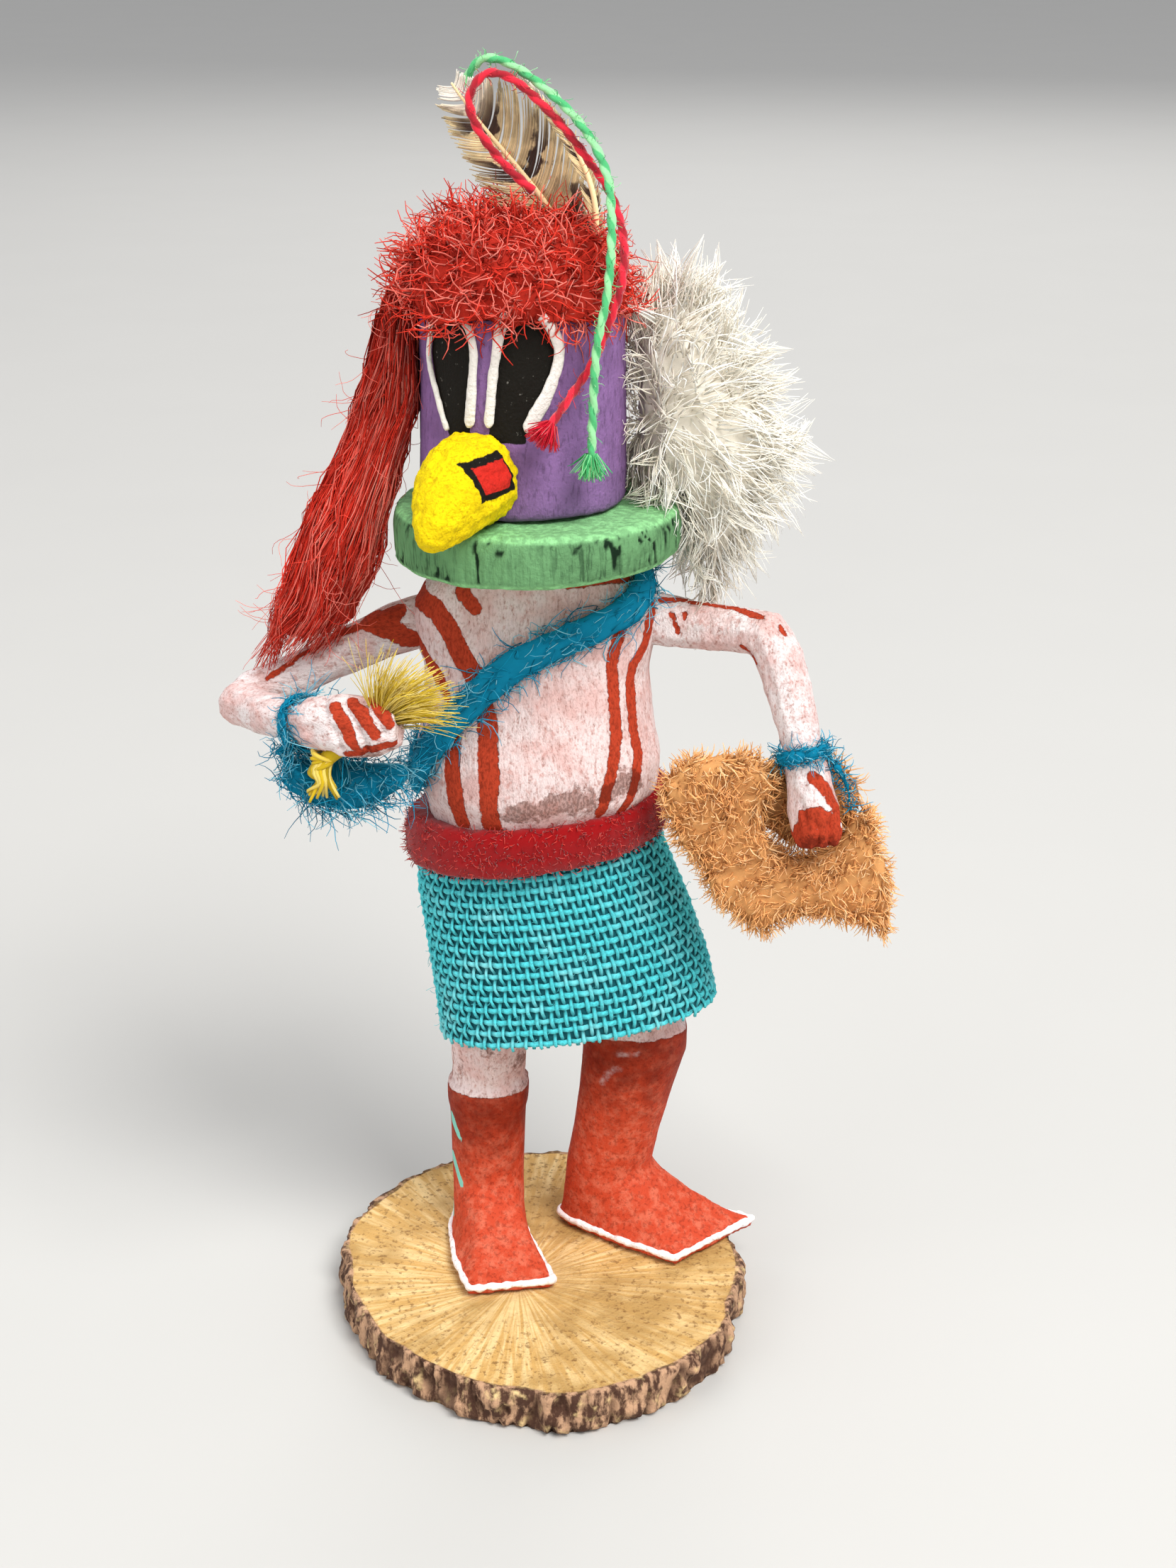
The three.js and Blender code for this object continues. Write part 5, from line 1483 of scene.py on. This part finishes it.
class DOLL_OT_bands(bpy.types.Operator):
    """Adds the teal wool slung over the shoulder and wound round the wrists"""

    bl_idname = "doll.bands"
    bl_label = "Wool bands"

    def execute(self, context):
        wool = context.scene.doll_wool
        rng = np.random.default_rng(51)
        teal = tuple(wool.teal)
        material = hair_material("Teal wool", shaded(teal, 0.4), teal, toned(teal, (0.5, 0.9, 0.9), 0.5), 0.7)
        hard = tree_of("body", "right_arm", "left_arm", "ruff")
        for name, node, number, length, shrink in (
            ("shoulder_band", "bandolier", wool.band, (2.0, 6.0), 0.35),
            ("right_wool", "right_wristband", 1150, (1.5, 6.5), 0.6),
            ("left_wool", "left_wristband", 520, (1.0, 3.2), 0.3),
        ):
            pile = wool_core(Pile(), node, 0.00046, shrink, 0.3, 0.16)
            roots, out = scattered(node, number, rng)
            if node == "bandolier":
                side = np.cross(out, rng.normal(size=out.shape))
                course = self.course(roots)
                heading = course * rng.choice((-1, 1), (len(roots), 1)) * 0.9 + 0.35 * out + 0.25 * side
            elif node == "right_wristband":
                heading = (
                    unit(np.array([0.8, 0.0, -0.35])) * 0.8 + 0.5 * out + 0.7 * rng.normal(size=out.shape)
                )
            else:
                heading = np.cross(out, (0.3, -0.2, -1.0)) + 0.35 * out + 0.3 * rng.normal(size=out.shape)
            reach = rng.uniform(*length, len(roots)) * rng.uniform(0.4, 1.0, len(roots))
            paths = grown(roots - 0.2 * out, heading, reach, 5, rng, 0.5, 0.18)
            paths = pushed_out(paths, hard, 0.12)
            hairs(pile, paths, rng.uniform(0.05, 0.085, len(roots)), rng, tip=0.5)
            piece = pile.piece(name, material)
            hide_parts(node)
        return {"FINISHED"}

    def course(self, points):
        """The way the shoulder band runs past each point."""
        middle = np.array([0.1, 4.4, 0.0])
        gap = (points - middle) * (1, 1, 0)
        ring = columns(-gap[:, 1], gap[:, 0] * 0.4, -gap[:, 1] * 0.85)
        return unit(ring + 0.001)


class DOLL_OT_pelt(bpy.types.Operator):
    """Adds the piece of orange fur in the left hand"""

    bl_idname = "doll.pelt"
    bl_label = "Pelt"

    def execute(self, context):
        wool = context.scene.doll_wool
        rng = np.random.default_rng(61)
        tan = tuple(wool.tan)
        material = hair_material(
            "Orange fur", shaded(tan, 0.62), tan, toned(tan, (1.0, 0.86, 0.55), 0.5), 0.68
        )
        pile = wool_core(Pile(), "pelt", CORE_FACE, 0.7, 0.2, 0.35)
        hard = tree_of("left_arm")
        self.behind_hand(pile, rng, hard)
        roots, out = scattered("pelt", wool.pelt, rng)
        comb = noises(roots, 5.0, (1, 2, 3)) * (1, 0.2, 1) - (0, 0, 0.55)
        heading = out * 0.8 + comb * 0.8 + rng.normal(size=out.shape) * 0.3
        length = rng.uniform(1.4, 2.5, len(roots))
        paths = grown(roots - 0.9 * out, heading, length, 4, rng, 0.4, 0.18, drift=0.3, cell=2.0)
        paths = pushed_out(paths, hard, 0.1)
        hairs(pile, paths, rng.uniform(0.075, 0.12, len(roots)), rng, tip=0.35)
        piece = pile.piece("orange_pelt", material)
        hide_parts("pelt")
        return {"FINISHED"}

    def behind_hand(self, pile, rng, hard):
        """A thin pad of darker fur that closes the space between the pelt and the back of the hand: painted
        shade in that space.
        """
        middle, wide, high, number = np.array([34.0, -4.4, 77.0]), 6.4, 6.2, 750
        across = np.linspace(-0.97, 0.97, 9)
        bulge = np.sqrt(1 - across**2)
        path = middle + columns(0, 0.6 * across, 0)
        upright = np.broadcast_to((0.0, 0.0, 1.0), path.shape)
        points, faces = tubes(
            path[None], (wide * bulge)[None], (high * bulge)[None], out=upright[None], sides=48
        )
        rough = 0.5 * noises(points, 1.2, (1, 2, 3)) * (1, 0.3, 1)
        # Tone 0 and a low reach make the pad dark, as painted shade; its hairs get low tones too.
        pile.add(points + rough, faces, tone=0.0, reach=0.3)
        angle, share = rng.uniform(0, TURN, number), np.sqrt(rng.random(number))
        away = columns(np.cos(angle), 0, np.sin(angle))
        roots = middle + away * (share * 0.97)[:, None] * (wide, 1, high) - (0, 0.3, 0)
        heading = 0.8 * away + (0, -0.5, -0.1) + rng.normal(size=roots.shape) * 0.4
        paths = pushed_out(grown(roots, heading, rng.uniform(1.3, 2.8, number), 4, rng, 0.4, 0.18), hard, 0.1)
        hairs(pile, paths, rng.uniform(0.075, 0.12, number), rng, tip=0.35, tone=rng.uniform(0, 0.7, number))


class DOLL_OT_grass(bpy.types.Operator):
    """Adds the bundle of yellow bristles in the right fist"""

    bl_idname = "doll.grass"
    bl_label = "Bristles"

    def execute(self, context):
        wool = context.scene.doll_wool
        rng = np.random.default_rng(71)
        straw = tuple(wool.straw)
        light = toned(straw, (1.0, 0.95, 0.5), 0.4)
        material = hair_material("Bristles", shaded(straw, 0.45), straw, light, 0.75, 0.1, 0.6)
        pile = Pile()
        number = 420
        base = np.array([-17.6, -14.2, 91.2])
        way = unit(np.array([2.6, -0.6, 4.6]))
        across = unit(np.array([0.9, 0.1, -0.5]))
        deep = np.cross(way, across)
        fan, depth = rng.normal(size=number) * 0.5, rng.normal(size=number) * 0.3
        heading = way + across * (fan * 0.95)[:, None] + deep * (depth * 0.6)[:, None]
        roots = base + across * (fan * 1.5)[:, None] + deep * (depth * 1.2)[:, None]
        bend = across * 0.06 + np.array([0, 0, -0.035])
        paths = grown(roots, heading, rng.uniform(4.5, 9.6, number), 8, rng, 0.05, 0.035, pull=bend)
        hairs(
            pile, paths, rng.uniform(0.05, 0.085, number), rng, tip=0.5, tone=rng.uniform(0.25, 1.0, number)
        )
        stem = smooth_line(
            [(-26.4, -12.7, 83.4), (-25.3, -12.9, 85.2), (-22.6, -13.4, 87.6), (-17.2, -14.1, 91.8)], 26
        )
        points, faces = tubes(stem[None], 1.0 + 0.15 * noise(stem, 1.2, 1)[None], sides=10)
        pile.add(points, faces, tone=0.3, reach=0.5)
        for loop in range(16):
            turn = loop / 16 * TURN
            start = np.array([-24.6, -13.0, 86.0]) + 0.7 * np.array(
                [math.cos(turn), math.sin(turn), 0.3 * math.cos(turn)]
            )
            line = smooth_line([
                start, start + (-0.9 + 0.4 * math.cos(turn), -0.5, -1.3),
                start + (-0.6, -0.7 + 0.3 * math.sin(turn), -2.6),
                start + rng.normal(size=3) * 0.45
                + (-0.9 + 0.9 * math.cos(turn), -0.2, -4.0 - 1.6 * rng.random()),
            ], 12)
            hairs(pile, line[None], 0.3, rng, sides=6, tip=0.55, tone=np.array([rng.uniform(0.1, 0.9)]))
        for loop in range(5):
            turn = np.linspace(0, TURN, 16, endpoint=False)
            knot = columns(1.15 * np.cos(turn), 0.9 * np.sin(turn), 0.5 * np.cos(turn + loop))
            knot = knot + np.array([-25.3, -13.1, 84.9 + 0.32 * loop]) + 0.15 * rng.normal(size=3)
            points, faces = tubes(knot[None], 0.28, sides=6, closed=True)
            pile.add(points, faces, tone=0.2 + 0.15 * loop, reach=0.9)
        piece = pile.piece("bristle_bundle", material)
        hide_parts("grass_bundle")
        return {"FINISHED"}


# ---------------------------------------------------------------- hair and fur
CAP_MIDDLE = np.array([-2.3, 2.2, 136.0])
# The side fall of hair from the crown down: middle, half width and half thickness.
FALL_LINE = np.array([
    (-15.0, 1.4, 139.0, 2.0, 3.0), (-16.4, 1.6, 131.0, 2.7, 3.8), (-17.5, 2.0, 125.0, 3.2, 4.0),
    (-20.3, 2.2, 118.0, 4.4, 4.2), (-22.9, 2.2, 111.5, 4.9, 4.2), (-24.8, 2.2, 105.0, 5.7, 4.0),
    (-26.8, 2.2, 100.4, 5.4, 3.4), (-29.0, 2.2, 96.4, 5.0, 3.0),
])


class DOLL_OT_hair(bpy.types.Operator):
    """Adds the curly crown of red wool, the long fall of it, and the white fur"""

    bl_idname = "doll.hair"
    bl_label = "Hair and fur"

    def execute(self, context):
        wool = context.scene.doll_wool
        red = tuple(wool.red)
        material = hair_material("Red wool", shaded(red, 0.42), red, toned(red, (1.0, 0.5, 0.4), 0.55), 0.62)
        hard = tree_of("mask", "ruff", "body", "right_arm", "left_arm", "beak")
        self.crown(wool, material, hard)
        self.fall(wool, material, hard)
        self.fur(wool, hard)
        return {"FINISHED"}

    def crown(self, wool, material, hard):
        rng = np.random.default_rng(81)
        pile = wool_core(Pile(), "hair_cap", CORE_FACE, 0.6, 0.15, 0.4)
        outer = lambda p, n: np.sum(unit(p - CAP_MIDDLE) * n, axis=1) > 0.15
        roots, out = scattered("hair_cap", wool.cap, rng, outer)
        fringe = roots[:, 2] < 140
        heading = out * 0.7 + rng.normal(size=out.shape) * 0.65
        heading[:, 2] -= np.where(fringe, 0.9, 0.1)
        length = rng.uniform(2.2, 5.5, len(roots))
        paths = grown(roots - 0.7 * out, heading, length, 5, rng, 0.8, 0.25, drift=0.4, cell=1.6)
        paths = pushed_out(paths, hard, HAIR_GAP)
        hairs(pile, paths, rng.uniform(0.075, 0.12, len(roots)), rng, tip=0.5)
        piece = pile.piece("crown_wool", material)
        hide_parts("hair_cap")

    def fall(self, wool, material, hard):
        rng = np.random.default_rng(91)
        pile = wool_core(Pile(), "hair_fall", CORE_FACE, 0.9, 0.15, 0.35)
        number, steps = wool.fall, 9
        start, stop = rng.uniform(0, 0.45, number) ** 1.6, rng.uniform(0.6, 1.09, number)
        t = start[:, None] + (stop - start)[:, None] * np.linspace(0, 1, steps)[None, :]
        spot = [np.interp(t, np.linspace(0, 1, len(FALL_LINE)), FALL_LINE[:, k]) for k in range(5)]
        angle, radius = rng.uniform(0, TURN, number), np.sqrt(rng.uniform(0.3, 1.1, number))
        angle = angle[:, None] + 0.5 * noise(columns(angle, 9 * t.mean(1), 0), 0.6, 3)[:, None]
        wide = radius[:, None] * np.cos(angle) * spot[3]
        thick = radius[:, None] * np.sin(angle) * spot[4]
        past = np.maximum(t - 1, 0)  # strands that end below the rest
        paths = np.stack(
            [spot[0] + wide - 26 * past, spot[1] + thick, spot[2] + 0.25 * wide - 40 * past], axis=-1
        )
        lock = noises(paths, (1.6, 1.6, 9.0), (1, 2, 3))
        wave = np.stack(
            [noise(paths + rng.normal(size=(number, 1, 3)) * 20, 3.5, k) for k in (4, 5, 6)], axis=-1
        )
        paths = paths + 1.15 * lock + 0.75 * wave
        paths = pushed_out(paths, hard, HAIR_GAP)
        hairs(pile, paths, rng.uniform(0.08, 0.125, number), rng, tip=0.4)
        number = 150
        t = rng.random(number)
        spot = np.stack(
            [np.interp(t, np.linspace(0, 1, len(FALL_LINE)), FALL_LINE[:, k]) for k in range(5)], axis=1
        )
        angle = rng.uniform(0, TURN, number)
        out = columns(np.cos(angle), np.sin(angle) * 0.7, 0)
        roots = spot[:, :3] + out * spot[:, 3:4] * 0.9
        heading = out * 0.8 + np.array([-0.35, 0, -0.6]) + 0.4 * rng.normal(size=out.shape)
        loose = grown(roots, heading, rng.uniform(3, 9, number), 9, rng, 0.35, 0.14)
        loose = pushed_out(loose, hard, HAIR_GAP)
        hairs(pile, loose, 0.045, rng, tip=0.6, tone=rng.uniform(0.5, 1, number))
        piece = pile.piece("side_wool", material)
        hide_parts("hair_fall")

    def fur(self, wool, hard):
        rng = np.random.default_rng(101)
        white = tuple(wool.white)
        material = hair_material(
            "White fur", toned(white, (0.3, 0.22, 0.14), 0.4), white, (1.0, 1.0, 0.95), 0.92
        )
        pile = wool_core(Pile(), "fur_tuft", CORE_FACE, 2.0, 0.6, 0.5)
        number, clumps, steps = wool.fur, 170, 5
        seeds, out = scattered("fur_tuft", clumps, rng)
        root = np.array([14.5, 4.5, 122.0])
        flow = (
            unit(seeds - root) * 0.7 + out * 0.5 + np.array([0.2, -0.1, -0.25]) + 0.25
            * rng.normal(size=out.shape)
        )
        length = rng.uniform(4.5, 8.5, clumps)
        spine = grown(seeds - out * 1.7, flow, length, steps, rng, 0.2, 0.07)
        owner = rng.integers(0, clumps, number)
        t = np.linspace(0, 1, steps)
        spread = rng.normal(size=(number, 3)) * 1.05
        close = (1 - t**1.3) * 0.9 + 0.10
        paths = spine[owner] + spread[:, None] * close[None, :, None]
        reach = rng.uniform(0.7, 1.1, number)[:, None, None]
        paths = paths[:, :1] + (paths - paths[:, :1]) * reach
        stray = rng.random(number) < 0.55
        roots, facing = scattered("fur_tuft", int(stray.sum()), rng)
        away = unit(roots - root)
        away = unit(away - 0.8 * np.sum(away * facing, axis=1, keepdims=True) * facing)
        heading = facing * 0.32 + away + (0, 0, -0.25) + rng.normal(size=roots.shape) * 0.3
        paths[stray] = grown(
            roots - 1.1 * facing, heading, rng.uniform(3.5, 7, len(roots)), steps, rng, 0.22, 0.08, drift=0.3,
            cell=2.5
        )
        paths = pushed_out(paths, hard, HAIR_GAP)
        tone = np.clip(rng.normal(0.72, 0.2, number) - 0.35 * (paths[:, 0, 0] < 14.5), 0, 1)
        hairs(pile, paths, rng.uniform(0.08, 0.125, number), rng, tip=0.25, tone=tone)
        piece = pile.piece("white_fur_tuft", material)
        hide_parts("fur_tuft")


# ---------------------------------------------------------------- feathers
# Each feather's quill from the crown to the tip, and the half widths of its vane towards -X and +X.
BROAD = np.array([
    (4.6, 3.3, 143.6, 4.2, 4.6), (1.8, 2.9, 148.4, 5.2, 7.0), (-1.2, 2.3, 152.4, 4.8, 7.2),
        (-4.0, 1.6, 155.8, 4.0, 6.2),
    (-6.2, 0.9, 158.6, 3.5, 4.6), (-7.9, 0.2, 161.0, 2.8, 2.8), (-8.9, -0.2, 162.5, 1.3, 1.2),
])
NARROW = np.array([
    (7.2, 0.8, 143.0, 1.6, 0.9), (7.4, 0.6, 148.2, 1.5, 0.8), (6.4, 0.4, 152.4, 1.3, 0.7),
        (4.4, 0.2, 156.4, 1.1, 0.6),
    (1.6, 0.0, 160.2, 0.9, 0.5), (-1.4, -0.2, 162.9, 0.7, 0.5), (-3.6, -0.3, 163.6, 0.4, 0.4),
])


def feather(name, table, rng, barbs, slant, material):
    """A feather: its quill, and a barb beside barb on both sides, parted here and there."""
    line = smooth_line(table[:, :3], 120)
    along = unit(np.gradient(line, axis=0))
    across = unit(columns(along[:, 2], 0, -along[:, 0]))
    out = np.cross(along, across)
    t = np.linspace(0, 1, len(table))
    pile = Pile()
    thin = np.linspace(0.42, 0.12, 120)
    points, faces = tubes(line[None], thin[None], sides=8)
    pile.add(points, faces, bar=-1.0, edge=0.0, tone=0.8)
    steps = 8
    for side, column in ((-1, 3), (1, 4)):
        share = np.sort(rng.uniform(0.01, 0.985, barbs))
        width = np.interp(share, t, table[:, column]) * rng.uniform(0.86, 1.04, barbs)
        place = share * 119
        at = lambda values: np.stack(
            [np.interp(place, np.arange(120), values[:, k]) for k in range(3)], axis=1
        )
        root, forward, sideways, front = at(line), at(along), at(across) * side, at(out)
        grid = np.linspace(0, 1, steps)[None, :, None]
        lag = noise(columns(share * 40, side * 9, 0), 1.0, 2)
        lean = (slant + 0.22 * lag)[:, None, None]
        run = width[:, None, None] * grid
        paths = root[:, None] + sideways[:, None] * run + forward[:, None] * run * (lean * (0.6 + 0.7 * grid))
        lift = 0.28 * noise(paths, 2.0, 5)[..., None] + 0.5 * grid**2 * lag[:, None, None]
        paths = paths - front[:, None] * (0.15 * grid**2 * width[:, None, None] * 0.6 - 0.6 * lift * grid)
        wide = np.broadcast_to(0.11 * (1 - 0.5 * grid[..., 0] ** 2), (barbs, steps))
        facing = np.broadcast_to(front[:, None], paths.shape)
        points, faces = tubes(paths, wide, wide * 0.35, out=facing, sides=4)
        mark = share[:, None] + 0.05 * grid[..., 0] * side
        pile.add(
            points, faces, bar=np.repeat(mark.reshape(-1), 4),
            edge=np.repeat(np.tile(grid[0, :, 0], barbs), 4),
            tone=np.repeat(rng.random(barbs), 4 * steps),
        )
    return pile.piece(name, material)


def feather_material(name, wool, bars, width):
    material, nodes, shader = new_material(name, 0.6, 0.2, 0.3)
    cream, dark = tuple(wool.feather), tuple(wool.bar)
    place = nodes.place()
    along, edge = nodes.measure("bar"), nodes.measure("edge")
    shift = nodes.times(nodes.minus(nodes.noise(place, 0.5, 3.0), 0.5), 0.9)
    phase = nodes.plus(nodes.times(along, bars * TURN), nodes.times(shift, 4.0))
    wave = nodes.math("SINE", phase)
    mask = nodes.between(wave, width, width + 0.35)
    inner = nodes.between(edge, 0.98, 0.5)
    band = nodes.times(mask, nodes.plus(0.35, nodes.times(inner, 0.65)))
    tip = nodes.between(along, 0.72, 0.9)
    band = nodes.times(band, nodes.minus(1.0, nodes.times(tip, 0.9)))
    blond = nodes.mix(cream, shaded(cream, 0.66), nodes.between(nodes.noise(place, 0.35, 3.0), 0.4, 0.65))
    blond = nodes.mix(blond, (0.88, 0.82, 0.7), tip)
    colour = nodes.mix(blond, dark, band)
    quill = nodes.between(along, -0.2, -0.6)
    colour = nodes.mix(colour, shaded(cream, 1.15), quill)
    barb = nodes.plus(0.62, nodes.times(nodes.measure("tone"), 0.6))
    nodes.put(shader.inputs["Base Color"], nodes.dimmed(colour, barb))
    bumped(nodes, shader, nodes.noise(place, 6.0, 2.0), 0.05)
    return material


class DOLL_OT_feathers(bpy.types.Operator):
    """Adds the broad barred feather and the narrow one"""

    bl_idname = "doll.feathers"
    bl_label = "Feathers"

    def execute(self, context):
        wool = context.scene.doll_wool
        rng = np.random.default_rng(111)
        broad = feather(
            "barred_feather", BROAD, rng, 220, 0.75, feather_material("Barred feather", wool, 3.0, 0.3)
        )
        narrow = feather(
            "thin_feather", NARROW, rng, 120, 1.3, feather_material("Thin feather", wool, 5.0, 0.35)
        )
        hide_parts("broad_feather")
        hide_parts("narrow_feather")
        return {"FINISHED"}


# ---------------------------------------------------------------- panel and main
OPERATORS = (
    DOLL_OT_stage, DOLL_OT_strings, DOLL_OT_base, DOLL_OT_carving, DOLL_OT_head, DOLL_OT_kilt, DOLL_OT_sash,
    DOLL_OT_bands, DOLL_OT_pelt, DOLL_OT_grass, DOLL_OT_hair, DOLL_OT_feathers,
)
SETTINGS = {
    "doll_carving": DOLL_PG_carving,
    "doll_base": DOLL_PG_base,
    "doll_cloth": DOLL_PG_cloth,
    "doll_wool": DOLL_PG_wool,
    "doll_stage": DOLL_PG_stage,
}


class DOLL_PT_panel(bpy.types.Panel):
    """Lists the doll's pieces and their settings"""

    bl_idname = "DOLL_PT_panel"
    bl_label = "Doll"
    bl_space_type = "VIEW_3D"
    bl_region_type = "UI"
    bl_category = "Doll"

    def draw(self, context):
        for operator in OPERATORS:
            self.layout.operator(operator.bl_idname)
        for name in SETTINGS:
            group = getattr(context.scene, name)
            box = self.layout.box()
            for key in group.bl_rna.properties.keys():
                if key not in ("rna_type", "name"):
                    box.prop(group, key)


def register():
    for group in SETTINGS.values():
        bpy.utils.register_class(group)
    for operator in (*OPERATORS, DOLL_PT_panel):
        bpy.utils.register_class(operator)
    for name, group in SETTINGS.items():
        setattr(bpy.types.Scene, name, PointerProperty(type=group))


def unregister():
    for name in SETTINGS:
        delattr(bpy.types.Scene, name)
    for item in (DOLL_PT_panel, *reversed(OPERATORS), *SETTINGS.values()):
        bpy.utils.unregister_class(item)


def main():
    register()
    build_groups()
    for operator in OPERATORS:
        space, name = operator.bl_idname.split(".")
        getattr(getattr(bpy.ops, space), name)()
    bpy.context.view_layer.update()


if __name__ == "__main__":
    main()
